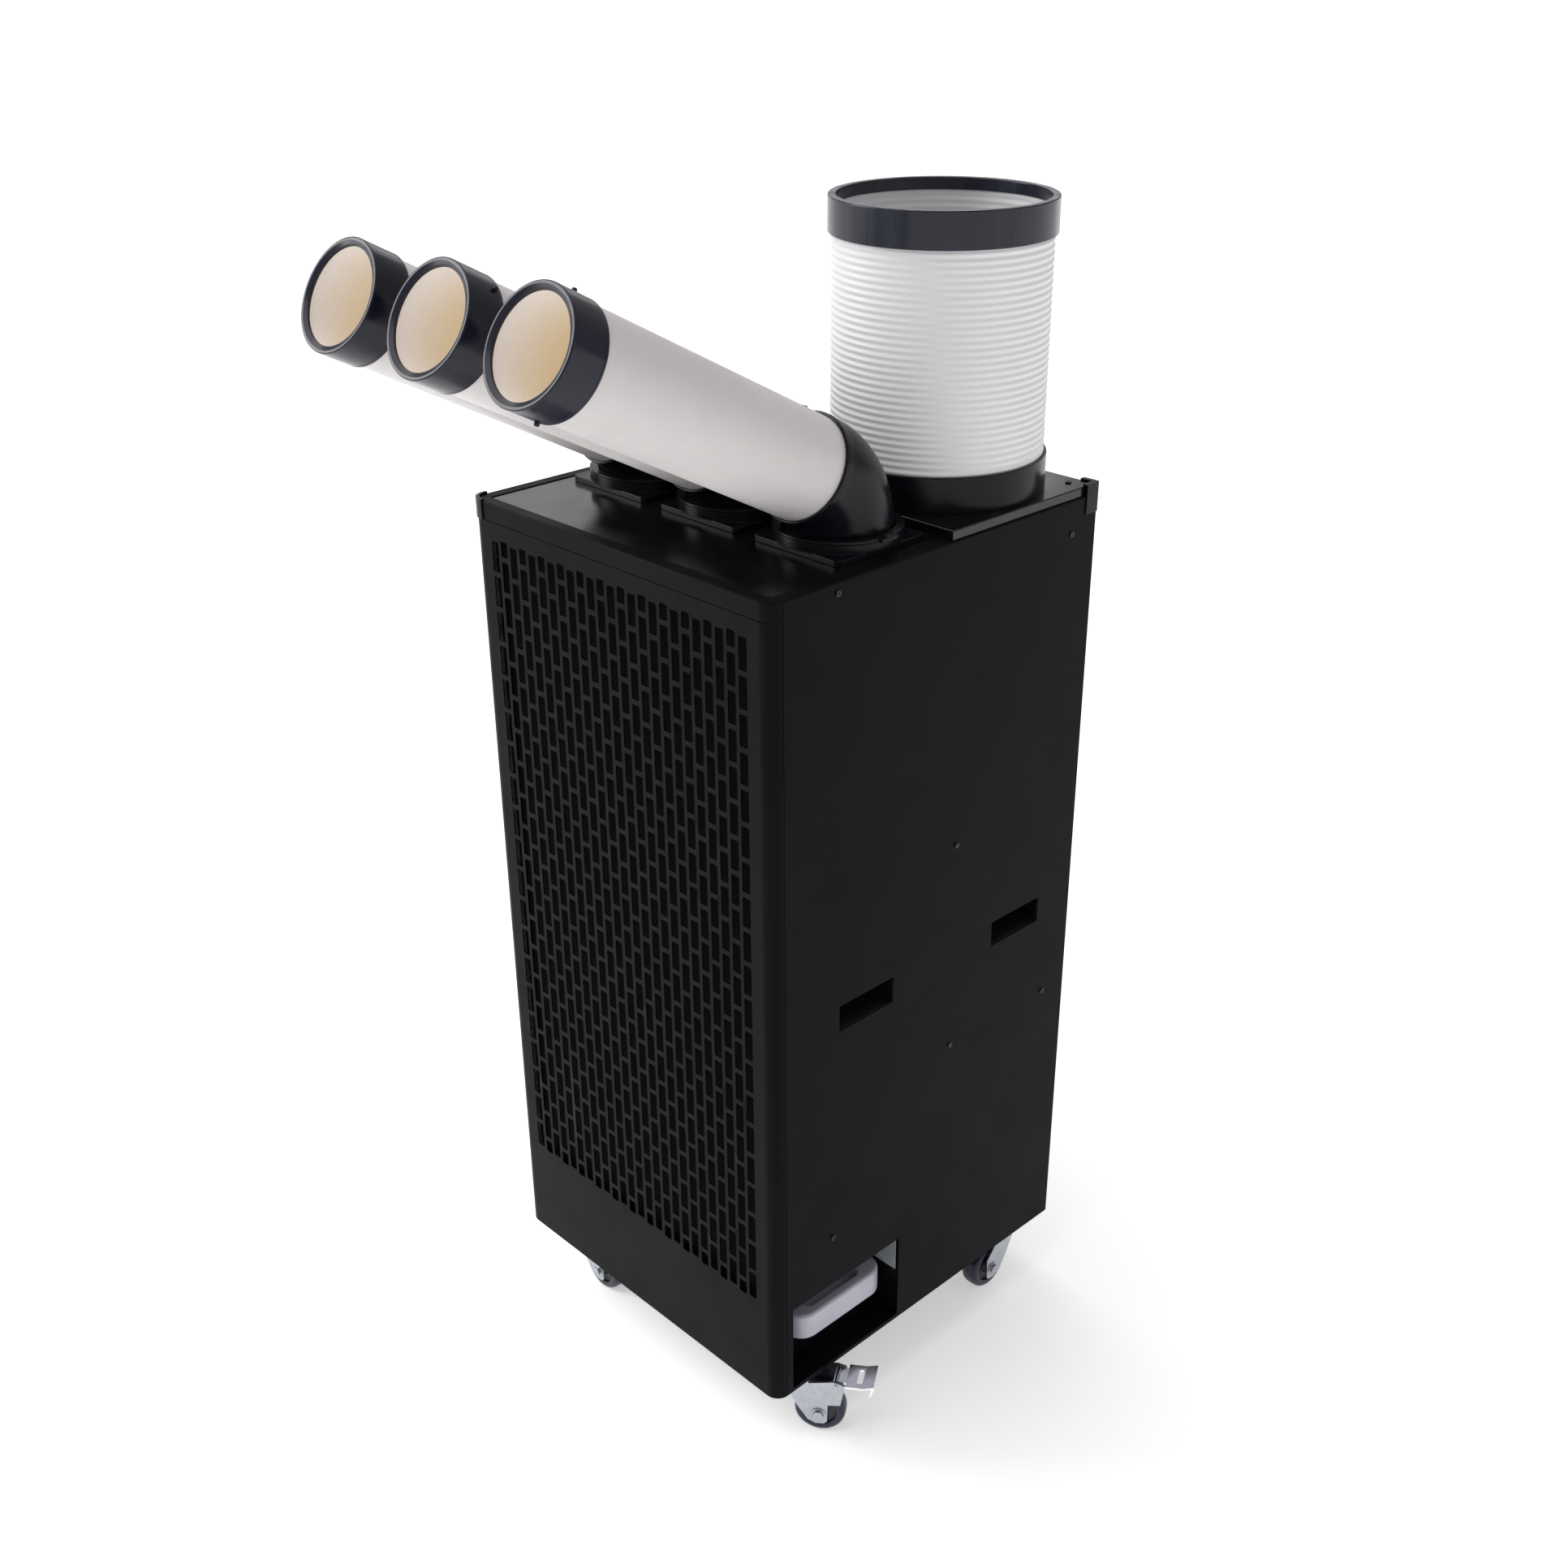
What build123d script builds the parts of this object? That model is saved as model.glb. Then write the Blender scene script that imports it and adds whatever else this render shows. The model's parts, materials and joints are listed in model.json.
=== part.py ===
from build123d import *
from math import cos, radians, sin, tan
import os

# Portable spot cooler: a tall steel cabinet on four swivel casters, with three
# swivelling cold-air arms on top at the front and a hot-air exhaust duct behind.
# Millimetres. +Z is up, the intake grille faces -Y, the drain tank slides out to +X.
# The origin is on the floor, under the middle of the cabinet.

# ---------------------------------------------------------------- cabinet
CAB_W = 500.0            # across X
CAB_D = 524.0            # along Y
CAB_BOTTOM = 98.0
CAB_TOP = 1140.0
SHEET = 1.5
CORNER_R = 18.0
REAR_R = 3.0
WRAP = 17.0              # the front panel turns this far round each side
SKIRT = 21.0             # the top rim's front skirt
RIM_W = 16.0
SEAM = 0.8
RIM_T = 3.0
PAN_T = 2.0
CAP_W, CAP_T = 22.0, 1.8      # the corner caps' reach along each side, and how proud they are
CAP_LIP, CAP_HOOK = 2.5, 2.6  # how far they stand above the rim and hook over it
FRONT = -CAB_D / 2
BACK = CAB_D / 2
SIDE = CAB_W / 2
SKIRT_Z = CAB_TOP - SKIRT

# ---------------------------------------------------------------- intake grille
SLOT_COLUMNS = 25
SLOT_PITCH_X = 17.4
SLOT_W = 12.4
SLOT_ROWS = 20
SLOT_PITCH_Z = 43.1
SLOT_L = 36.8
SLOTS_BOTTOM = 237.0
SLOTS_TOP = SLOTS_BOTTOM + SLOT_ROWS * SLOT_PITCH_Z

# ---------------------------------------------------------------- side openings
HANDLE_Y = (FRONT + 148.0, FRONT + 415.0)
HANDLE_L, HANDLE_H, HANDLE_DEPTH = 90.0, 34.0, 28.0
HANDLE_Z = 611.0
BAY_Y0, BAY_Y1 = FRONT + 27.5, FRONT + 215.5
BAY_Z0, BAY_Z1 = 104.0, 228.0
BAY_DEPTH = 262.0
LOUVRE_X, LOUVRE_Z = -60.0, 300.0
LOUVRE_L, LOUVRE_W, LOUVRE_PITCH, LOUVRE_ROWS = 130.0, 6.0, 16.0, 15
GLAND_X, GLAND_Z, GLAND_R = -190.0, 150.0, 9.0

# ---------------------------------------------------------------- drain tank
TANK_X0, TANK_X1 = 36.0, 232.0
TANK_Y0, TANK_Y1 = FRONT + 58.0, FRONT + 212.0
TANK_Z0, TANK_LOW_Z, TANK_HIGH_Z = 139.0, 168.0, 220.0
TANK_STEP_X = 152.0
TANK_R, TANK_WALL = 26.0, 2.5
GRIP_L, GRIP_W, GRIP_DEPTH = 95.0, 20.0, 20.0
GRIP_X, GRIP_Y = 208.0, FRONT + 131.0
DRIP_X, DRIP_Y, DRIP_R = 94.0, FRONT + 110.0, 22.0
SHELF_X, SHELF_FIT = 212.0, 0.3     # the tank stands on a shelf set back from the mouth
GUIDE_X0, GUIDE_X1, GUIDE_Z0, GUIDE_T = 186.0, 245.5, 176.0, 1.4

# ---------------------------------------------------------------- cold arms
ARM_X = {"left": -155.0, "middle": 0.0, "right": 155.0}
ARM_Y = -70.0
ARM_TWIST = {"left": 85.0, "middle": 38.0, "right": -2.0}
ARM_RISE = 28.1          # degrees above level
ARM_KNEE = 62.0          # where the two centre lines cross, above the cabinet's top
BEND_TANGENT = 48.0
BEND_R = BEND_TANGENT / tan(radians((90.0 - ARM_RISE) / 2))
PLATE_TOP = CAB_TOP - 1.0
PLATE_T, PLATE_GAP = 2.5, 1.5
FLANGE_W, FLANGE_T, FLANGE_CORNER_R = 132.0, 7.0, 8.0
CLAMP_T, EAR_W, EAR_L = 4.0, 11.0, 24.0
RING_R, RING_H = 71.0, 10.0
FOOT_R, SPIGOT_R, RUN_FIT = 66.2, 56.0, 0.06
LIFT = 0.3               # free play between faces that slide over each other
ELBOW_R, ELBOW_BORE_R = 60.5, 53.0
ELBOW_END = 62.0
TUBE_R, TUBE_BORE_R = 57.0, 54.5
TUBE_START, TUBE_END = 49.0, 439.5
NOZZLE_R, NOZZLE_MOUTH_R = 59.8, 51.0
NOZZLE_START, NOZZLE_END = 402.5, 445.0
STUD_BACK, STUD_R, STUD_H = 9.0, 2.8, 3.5
AIM = Vector(0, -cos(radians(ARM_RISE)), sin(radians(ARM_RISE)))
RING_TOP = PLATE_TOP + FLANGE_T + RING_H

# ---------------------------------------------------------------- hot-air exhaust
LID_Y = 12.0
LID_H = 11.0
LID_T, LID_INSET = 2.0, 3.0
LID_TOP = CAB_TOP + LID_H
DUCT_X, DUCT_Y = 112.0, 134.0
DUCT_R, DUCT_BORE_R = 122.5, 119.0
SOCKET_R, SOCKET_TOP = 126.0, LID_TOP + 41.0
DUCT_TOP = 1459.0
DUCT_FOOT = LID_TOP + 20.0
COLLAR_Z0, COLLAR_Z1 = 1433.0, 1473.0
COLLAR_R, COLLAR_MOUTH_R = 126.0, 117.0

# ---------------------------------------------------------------- casters
WHEEL_R, WHEEL_W = 33.0, 25.0
TRAIL = 36.0
AXLE_R, KINGPIN_R, PIN_FIT = 4.0, 5.0, 0.06
CASTER_PLATE_T = 2.5
RACE_R = 21.0
CROWN_Z0, CROWN_Z1 = 80.0, 87.7
LEG_T, LEG_GAP = 2.5, 31.0
NUT_R, NUT_T = 7.0, 4.5
HUB_DISH_R, HUB_BOSS_R = 22.5, 11.0
PEDAL_PIN_U, PEDAL_PIN_Z, PEDAL_PIN_R = 58.0, 83.0, 2.5
PEDAL_TIP_U, PEDAL_HINGE_W, PEDAL_W = 106.0, 26.0, 40.0
CASTERS = {              # name: pivot x, pivot y, heading
    "front_right": (212.0, -198.0, 34.0),
    "front_left": (-190.0, -204.0, 0.0),
    "rear_right": (212.0, 210.0, -90.0),
    "rear_left": (-190.0, 204.0, -62.0),
}
BRAKED = ("front_right", "front_left")

# ---------------------------------------------------------------- inside
DECK_Z = 660.0
COIL_Y0, COIL_T = FRONT + 24.0, 46.0
COLD_FAN = (0.0, -30.0, 880.0)
HOT_FAN = (100.0, 118.0, 440.0)
SCROLL_R, SCROLL_W = 112.0, 190.0
WHEEL_CAGE_R, CAGE_W = 90.0, 170.0
SHAFT_R = 6.0
INLET_R = 76.0
MOTOR_R, MOTOR_L = 50.0, 85.0
RISER_X0, RISER_X1 = 12.0, 212.0
RISER_Y0, RISER_Y1 = 150.0, 245.0
PLENUM_Y0, PLENUM_Y1, PLENUM_Z0 = -145.0, 5.0, 1062.0
COMPRESSOR = (-140.0, 120.0)
COMPRESSOR_R, COMPRESSOR_Z0, COMPRESSOR_Z1 = 72.0, 122.0, 372.0
SUCTION_Y = 205.0        # the suction pipe climbs behind the hot fan's motor

# ---------------------------------------------------------------- controls
PANEL_X, PANEL_Z = -130.0, 1010.0
PANEL_W, PANEL_H, PANEL_T = 180.0, 84.0, 5.0
BUTTON_R, BUTTON_GAP, BUTTON_PROUD = 8.0, 0.3, 3.0
BUTTONS = {"button_power": PANEL_X + 50.0, "button_mode": PANEL_X + 20.0,
           "button_fan": PANEL_X - 10.0}
BUTTON_Z = PANEL_Z - 20.0

os.makedirs("parts", exist_ok=True)


def write(shape, name):
    shape.label = name
    export_step(shape, f"parts/{name}.step")


def outline(inset):
    """The cabinet's plan, moved in by inset."""
    with BuildSketch(mode=Mode.PRIVATE) as plan:
        Rectangle(CAB_W - 2 * inset, CAB_D - 2 * inset)
        fillet(plan.vertices().group_by(Axis.Y)[0], CORNER_R - inset)
        fillet(plan.vertices().group_by(Axis.Y)[-1], max(REAR_R - inset, 0.5))
    return plan.sketch


def wrap_band(z0, z1):
    """A band of sheet round the front face and both front corners."""
    with BuildPart(mode=Mode.PRIVATE) as band:
        with BuildSketch(Plane.XY.offset(z0)):
            add(outline(0))
            add(outline(SHEET), mode=Mode.SUBTRACT)
            with Locations((0, FRONT + WRAP / 2)):
                Rectangle(CAB_W, WRAP, mode=Mode.INTERSECT)
        extrude(amount=z1 - z0)
    return band.part


def block(x0, x1, y0, y1, z0, z1, mode=Mode.ADD):
    """A box between two corners."""
    with Locations(((x0 + x1) / 2, (y0 + y1) / 2, (z0 + z1) / 2)):
        Box(x1 - x0, y1 - y0, z1 - z0, mode=mode)


# ================================================================ cabinet shell

with BuildPart() as base_pan:
    with BuildSketch(Plane.XY.offset(CAB_BOTTOM)):
        add(outline(SHEET))
    extrude(amount=PAN_T)
    with BuildSketch(Plane.XY.offset(CAB_BOTTOM + PAN_T)):
        add(outline(SHEET))
        add(outline(2 * SHEET), mode=Mode.SUBTRACT)
    extrude(amount=BAY_Z0 - CAB_BOTTOM - PAN_T - LIFT)
write(base_pan.part, "base_pan")


with BuildPart() as front_grille:
    add(wrap_band(CAB_BOTTOM, SKIRT_Z - SEAM))
    with BuildSketch(Plane.XZ.offset(-FRONT)):
        middle_z = (SLOTS_BOTTOM + SLOTS_TOP) / 2
        columns = range(-(SLOT_COLUMNS // 2), SLOT_COLUMNS // 2 + 1)
        for column in columns:
            x = column * SLOT_PITCH_X
            full_rows = SLOT_ROWS - column % 2
            with Locations((x, middle_z)):
                with GridLocations(SLOT_PITCH_X, SLOT_PITCH_Z, 1, full_rows):
                    Rectangle(SLOT_W, SLOT_L)
            if column % 2:
                half = SLOT_L / 2
                with Locations((x, SLOTS_BOTTOM + half / 2), (x, SLOTS_TOP - half / 2)):
                    Rectangle(SLOT_W, half)
    extrude(amount=-4 * SHEET, mode=Mode.SUBTRACT)
write(front_grille.part, "front_grille")


def side_panel(side, with_bay):
    """A flat side sheet; side is +1 for the right and -1 for the left."""
    inner = side * (SIDE - SHEET)
    y0, y1 = FRONT + WRAP + SEAM, BACK - SHEET
    z1 = CAB_TOP - RIM_T
    with BuildPart() as panel:
        with BuildSketch(Plane.YZ.offset(inner)):
            with Locations(((y0 + y1) / 2, (CAB_BOTTOM + z1) / 2)):
                Rectangle(y1 - y0, z1 - CAB_BOTTOM)
            for y in HANDLE_Y:
                with Locations((y, HANDLE_Z)):
                    RectangleRounded(HANDLE_L, HANDLE_H, 3, mode=Mode.SUBTRACT)
            if with_bay:
                with Locations(((BAY_Y0 + BAY_Y1) / 2, (BAY_Z0 + BAY_Z1) / 2)):
                    Rectangle(BAY_Y1 - BAY_Y0, BAY_Z1 - BAY_Z0, mode=Mode.SUBTRACT)
        extrude(amount=side * SHEET)
    return panel.part


write(side_panel(+1, True), "right_panel")
write(side_panel(-1, False), "left_panel")


with BuildPart() as rear_panel:
    panel_z1 = CAB_TOP - RIM_T
    with BuildSketch(Plane.XZ.offset(-BACK)):
        with Locations((0, (CAB_BOTTOM + panel_z1) / 2)):
            Rectangle(CAB_W - 2 * SEAM, panel_z1 - CAB_BOTTOM)
        with Locations((LOUVRE_X, LOUVRE_Z)):
            with GridLocations(LOUVRE_L + 20.0, LOUVRE_PITCH, 2, LOUVRE_ROWS):
                SlotOverall(LOUVRE_L, LOUVRE_W, mode=Mode.SUBTRACT)
        with Locations((PANEL_X, PANEL_Z)):
            Rectangle(PANEL_W - 24, PANEL_H - 24, mode=Mode.SUBTRACT)
        with Locations((GLAND_X, GLAND_Z)):
            Circle(GLAND_R, mode=Mode.SUBTRACT)
    extrude(amount=SHEET)
write(rear_panel.part, "rear_panel")


with BuildPart() as top_rim:
    with BuildSketch(Plane.XY.offset(CAB_TOP - RIM_T)):
        add(outline(0))
        add(outline(RIM_W), mode=Mode.SUBTRACT)
    extrude(amount=RIM_T)
    fillet(top_rim.faces().sort_by(Axis.Z)[-1].outer_wire().edges(), 2.0)
    add(wrap_band(SKIRT_Z, CAB_TOP - RIM_T))
write(top_rim.part, "top_rim")


with BuildPart() as top_front_plate:
    with BuildSketch(Plane.XY.offset(PLATE_TOP - PLATE_T)):
        add(outline(RIM_W + PLATE_GAP))
        with Locations((0, (FRONT + LID_Y) / 2)):
            Rectangle(CAB_W, LID_Y - FRONT - 2.0, mode=Mode.INTERSECT)
        with Locations(*[(x, ARM_Y) for x in ARM_X.values()]):
            Circle(SPIGOT_R + 2.0, mode=Mode.SUBTRACT)
    extrude(amount=PLATE_T)
write(top_front_plate.part, "top_front_plate")


with BuildPart() as top_rear_cover:
    lid_x, lid_y1 = SIDE - LID_INSET, BACK - LID_INSET
    block(-lid_x, lid_x, LID_Y, lid_y1, CAB_TOP, LID_TOP)
    block(-lid_x + LID_T, lid_x - LID_T, LID_Y + LID_T, lid_y1 - LID_T, CAB_TOP,
          LID_TOP - LID_T, Mode.SUBTRACT)
    lid_top = top_rear_cover.faces().sort_by(Axis.Z)[-1]
    fillet(lid_top.edges(), 1.5)
    with BuildSketch(Plane.XY.offset(LID_TOP)):
        with Locations((DUCT_X, DUCT_Y)):
            Circle(COLLAR_MOUTH_R)
    extrude(amount=-LID_T, mode=Mode.SUBTRACT)
write(top_rear_cover.part, "top_rear_cover")


with BuildPart() as corner_caps:
    for x, y, top, hook in ((-SIDE, FRONT, CAB_TOP, CAP_HOOK),
                            (SIDE, BACK, LID_TOP, CAP_HOOK + LID_INSET),
                            (-SIDE, BACK, LID_TOP, CAP_HOOK + LID_INSET)):
        for z0, inner in ((SKIRT_Z - SEAM, 0.0), (top, hook)):
            with BuildSketch(Plane.XY.offset(z0)):
                add(outline(-CAP_T))
                add(outline(inner), mode=Mode.SUBTRACT)
                if y > 0 and not inner:
                    Rectangle(CAB_W, CAB_D, mode=Mode.SUBTRACT)
                with Locations((x, y)):
                    Rectangle(2 * CAP_W, 2 * CAP_W, mode=Mode.INTERSECT)
            extrude(amount=top + CAP_LIP - z0)
write(corner_caps.part, "corner_caps")


def handle_cup(side, y):
    """A finger pocket whose floor slopes down to the panel."""
    face = SIDE - SHEET
    z0, z1 = HANDLE_Z - HANDLE_H / 2, HANDLE_Z + HANDLE_H / 2
    outer = [(face, z0 - SHEET), (face, z1 + SHEET), (face - HANDLE_DEPTH, z1 + SHEET),
             (face - HANDLE_DEPTH, z0 + 11.0)]
    inner = [(face, z0), (face, z1), (face - HANDLE_DEPTH + SHEET, z1),
             (face - HANDLE_DEPTH + SHEET, z0 + 11.0 + SHEET)]
    with BuildPart() as cup:
        with BuildSketch(Plane.XZ.offset(-y - HANDLE_L / 2 - SHEET)):
            Polygon(*[(side * x, z) for x, z in outer], align=None)
        extrude(amount=HANDLE_L + 2 * SHEET)
        with BuildSketch(Plane.XZ.offset(-y - HANDLE_L / 2)):
            Polygon(*[(side * x, z) for x, z in inner], align=None)
        extrude(amount=HANDLE_L, mode=Mode.SUBTRACT)
    return cup.part


cups = [handle_cup(side, y) for side in (+1, -1) for y in HANDLE_Y]
write(Compound(children=cups), "handle_cups")


# ================================================================ inside frame

with BuildPart() as inner_frame:
    post, post_z1 = 22.0, CAB_TOP - 4.0
    for sx in (-1, 1):
        for y_wall, sy in ((FRONT + WRAP + 2.0, 1), (BACK - 2.5, -1)):
            x_wall = sx * (SIDE - SHEET - LIFT)
            x_in, y_in = x_wall - sx * post, y_wall + sy * post
            x_sheet, y_sheet = x_wall - sx * SHEET, y_wall + sy * SHEET
            z0 = BAY_Z1 + 8.0 if (sx > 0 and sy > 0) else BAY_Z0
            block(*sorted((x_wall, x_sheet)), *sorted((y_wall, y_in)), z0, post_z1)
            block(*sorted((x_wall, x_in)), *sorted((y_wall, y_sheet)), z0, post_z1)
    deck_x, deck_y0, deck_y1 = SIDE - 26.0, FRONT + 20.0, BACK - 4.0
    block(-deck_x, deck_x, deck_y0, deck_y1, DECK_Z, DECK_Z + SHEET)
    block(RISER_X0 - 4, RISER_X1 + 4, RISER_Y0 - 4, BACK - 3.0, DECK_Z, DECK_Z + SHEET,
          Mode.SUBTRACT)
    block(160, 168, FRONT + 75.0, FRONT + 83.0, DECK_Z, DECK_Z + SHEET, Mode.SUBTRACT)
    block(-185, -155, SUCTION_Y - 15, SUCTION_Y + 15, DECK_Z, DECK_Z + SHEET, Mode.SUBTRACT)
write(inner_frame.part, "inner_frame")


with BuildPart() as front_filter:
    filter_y = FRONT + 8.0
    block(-218, 218, filter_y, filter_y + 8, SLOTS_BOTTOM - 6, SLOTS_TOP + 6)
    block(-210, 210, filter_y, filter_y + 8, SLOTS_BOTTOM + 2, SLOTS_TOP - 2, Mode.SUBTRACT)
    block(-210, 210, filter_y + 3, filter_y + 4.2, SLOTS_BOTTOM + 2, SLOTS_TOP - 2)
    with Locations((0, filter_y + 5.5, (SLOTS_BOTTOM + SLOTS_TOP) / 2)):
        with GridLocations(140, 1, 2, 1):
            Box(5, 3, SLOTS_TOP - SLOTS_BOTTOM)
write(front_filter.part, "front_filter")


def fin_coil(z0, z1):
    """A finned block with its return bends along one side."""
    y_mid = COIL_Y0 + COIL_T / 2
    with BuildPart() as coil:
        block(-205, 205, COIL_Y0, COIL_Y0 + COIL_T, z0, z1)
        with Locations((0, COIL_Y0, (z0 + z1) / 2)):
            with GridLocations(10, 1, 40, 1):
                Box(5, 8, z1 - z0 - 16, mode=Mode.SUBTRACT)
        rows = int((z1 - z0 - 20) / 38)
        for side in (-1, 1):
            with BuildSketch(Plane.YZ.offset(side * 205)):
                with Locations((y_mid, (z0 + z1) / 2)):
                    with GridLocations(1, 38, 1, rows):
                        SlotOverall(30, 8)
            extrude(amount=side * 9)
    return coil.part


write(fin_coil(DECK_Z + 30, SLOTS_TOP - 5), "evaporator_coil")
write(fin_coil(SLOTS_BOTTOM + 6, DECK_Z - 8), "condenser_coil")


with BuildPart() as drain_pan:
    pan_z, pan_y1 = DECK_Z + SHEET, COIL_Y0 + COIL_T + 14
    block(-222, 222, COIL_Y0 - 3, pan_y1, pan_z, pan_z + 24)
    block(-220, 220, COIL_Y0 - 1, pan_y1 - 2, pan_z + 2, pan_z + 24, Mode.SUBTRACT)
    with BuildSketch(Plane.XY.offset(pan_z)):
        with Locations((164, FRONT + 79.0)):
            Circle(3.5)
    extrude(amount=BAY_Z1 - pan_z + 8)
    with BuildSketch(Plane.XY.offset(pan_z + 3)):
        with Locations((164, FRONT + 79.0)):
            Circle(2.2)
    extrude(amount=BAY_Z1 - pan_z - 8, mode=Mode.SUBTRACT)
write(drain_pan.part, "drain_pan")


# ================================================================ air path

def blower_housing(centre, neck_top, neck_y0, neck_y1):
    """A drum with an inlet each side and a neck that blows upward."""
    cx, cy, cz = centre
    drum = Plane(origin=(cx - SCROLL_W / 2, cy, cz), z_dir=(1, 0, 0))
    with BuildPart() as housing:
        with BuildSketch(drum):
            Circle(SCROLL_R)
        extrude(amount=SCROLL_W)
        block(cx - SCROLL_W / 2, cx + SCROLL_W / 2, neck_y0, neck_y1, cz, neck_top)
        with BuildSketch(drum.offset(2)):
            Circle(SCROLL_R - 2)
        extrude(amount=SCROLL_W - 4, mode=Mode.SUBTRACT)
        block(cx - SCROLL_W / 2 + 2, cx + SCROLL_W / 2 - 2, neck_y0 + 2, neck_y1 - 2,
              cz, neck_top, Mode.SUBTRACT)
        with BuildSketch(drum):
            Circle(INLET_R)
        extrude(amount=SCROLL_W, mode=Mode.SUBTRACT)
    return housing.part


def blower_wheel(centre):
    """A squirrel-cage wheel on a hub, open at both ends."""
    cx, cy, cz = centre
    left = Plane(origin=(cx - CAGE_W / 2, cy, cz), z_dir=(1, 0, 0))
    with BuildPart() as wheel:
        for at in (0, CAGE_W - 4):
            with BuildSketch(left.offset(at)):
                Circle(WHEEL_CAGE_R)
                Circle(WHEEL_CAGE_R - 10, mode=Mode.SUBTRACT)
            extrude(amount=4)
        with BuildSketch(left.offset(CAGE_W / 2 - 2)):
            Circle(WHEEL_CAGE_R)
        extrude(amount=4)
        with BuildSketch(left):
            with PolarLocations(WHEEL_CAGE_R - 6, 32):
                Rectangle(9, 1.4, rotation=25)
        extrude(amount=CAGE_W)
        with BuildSketch(left.offset(CAGE_W / 2 - 22)):
            Circle(16)
        extrude(amount=34)
        with BuildSketch(left):
            Circle(SHAFT_R + RUN_FIT)
        extrude(amount=CAGE_W, mode=Mode.SUBTRACT)
    return wheel.part


def fan_motor(centre):
    """A round motor beside its blower, with the shaft that carries the wheel."""
    cx, cy, cz = centre
    face = cx - SCROLL_W / 2 - 6
    plane = Plane(origin=(face, cy, cz), z_dir=(1, 0, 0))
    with BuildPart() as motor:
        with BuildSketch(plane):
            Circle(MOTOR_R)
        extrude(amount=-MOTOR_L)
        fillet(motor.edges().filter_by(GeomType.CIRCLE), 6)
        with BuildSketch(plane):
            Circle(SHAFT_R)
        extrude(amount=SCROLL_W / 2 + 22)
    return motor.part


write(blower_housing(COLD_FAN, PLENUM_Z0, COLD_FAN[1] - 50, COLD_FAN[1] + 30),
      "cold_blower_housing")
write(blower_housing(HOT_FAN, DECK_Z - 30, RISER_Y0 + 1, RISER_Y0 + 81), "hot_blower_housing")
write(blower_wheel(COLD_FAN), "cold_blower_wheel")
write(blower_wheel(HOT_FAN), "hot_blower_wheel")
write(Compound(children=[fan_motor(COLD_FAN), fan_motor(HOT_FAN)]), "fan_motors")


with BuildPart() as cold_plenum:
    plenum_top = PLATE_TOP - 2.5
    block(-226, 226, PLENUM_Y0, PLENUM_Y1, PLENUM_Z0, plenum_top)
    block(-224, 224, PLENUM_Y0 + 2, PLENUM_Y1 - 2, PLENUM_Z0 + 2, plenum_top - 2, Mode.SUBTRACT)
    with BuildSketch(Plane.XY.offset(plenum_top)):
        with Locations(*[(x, ARM_Y) for x in ARM_X.values()]):
            Circle(SPIGOT_R + 2.0)
    extrude(amount=-4, mode=Mode.SUBTRACT)
    neck_x = SCROLL_W / 2 - 2
    block(-neck_x, neck_x, COLD_FAN[1] - 48, COLD_FAN[1] + 28, PLENUM_Z0, PLENUM_Z0 + 3,
          Mode.SUBTRACT)
write(cold_plenum.part, "cold_plenum")


with BuildPart() as exhaust_riser:
    riser_z0, riser_z1 = DECK_Z - 30, CAB_TOP
    block(RISER_X0, RISER_X1, RISER_Y0, RISER_Y1, riser_z0, riser_z1)
    block(RISER_X0 + 2, RISER_X1 - 2, RISER_Y0 + 2, RISER_Y1 - 2, riser_z0 + 2, riser_z1,
          Mode.SUBTRACT)
    block(RISER_X0 + 2, RISER_X1 - 2, RISER_Y0 + 2, RISER_Y0 + 79, riser_z0, riser_z0 + 3,
          Mode.SUBTRACT)
write(exhaust_riser.part, "exhaust_riser")


# ================================================================ refrigeration

with BuildPart() as compressor:
    with BuildSketch(Plane.XY.offset(COMPRESSOR_Z0)):
        with Locations(COMPRESSOR):
            Circle(COMPRESSOR_R)
    extrude(amount=COMPRESSOR_Z1 - COMPRESSOR_Z0)
    fillet(compressor.edges().filter_by(GeomType.CIRCLE), 24)
    with BuildSketch(Plane.XY.offset(COMPRESSOR_Z0 - 4)):
        with Locations(COMPRESSOR):
            Circle(52)
            with PolarLocations(78, 3, start_angle=30):
                Circle(16)
            with PolarLocations(50, 3, start_angle=30):
                Rectangle(60, 30)
    extrude(amount=8)
    with BuildSketch(Plane.XY.offset(COMPRESSOR_Z0 + 60)):
        with Locations((COMPRESSOR[0] + 104, COMPRESSOR[1])):
            Circle(25)
    extrude(amount=130)
    with BuildSketch(Plane.XY.offset(COMPRESSOR_Z0 + 110)):
        with Locations((COMPRESSOR[0] + 76, COMPRESSOR[1])):
            Rectangle(24, 30)
    extrude(amount=24)
    with BuildSketch(Plane.XY.offset(CAB_BOTTOM + 2)):
        with Locations(COMPRESSOR):
            with PolarLocations(78, 3, start_angle=30):
                Circle(12)
    extrude(amount=COMPRESSOR_Z0 - 4 - CAB_BOTTOM - 2)
write(compressor.part, "compressor")


def pipe(points, radius):
    """A copper pipe along straight runs with rounded corners."""
    with BuildPart() as run:
        with BuildLine() as path:
            FilletPolyline(*points, radius=14)
        start = Plane(origin=path.line @ 0, z_dir=path.line % 0)
        with BuildSketch(start):
            Circle(radius)
        sweep()
    return run.part


pipe_y = COIL_Y0 + COIL_T + 24
cx, cy = COMPRESSOR
pipes = [
    pipe([(cx, cy, COMPRESSOR_Z1), (cx, cy, 430), (cx - 50, cy, 430),
          (cx - 50, pipe_y - 22, 430)], 4.0),
    pipe([(cx + 104, cy, COMPRESSOR_Z0 + 190), (cx + 104, cy, 350), (cx + 104, SUCTION_Y, 350),
          (cx + 104, SUCTION_Y, 560), (cx - 30, SUCTION_Y, 560), (cx - 30, SUCTION_Y, 740),
          (cx - 30, pipe_y - 18, 740)], 5.0),
]
write(Compound(children=pipes), "refrigerant_pipes")


# ================================================================ controls

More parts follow.
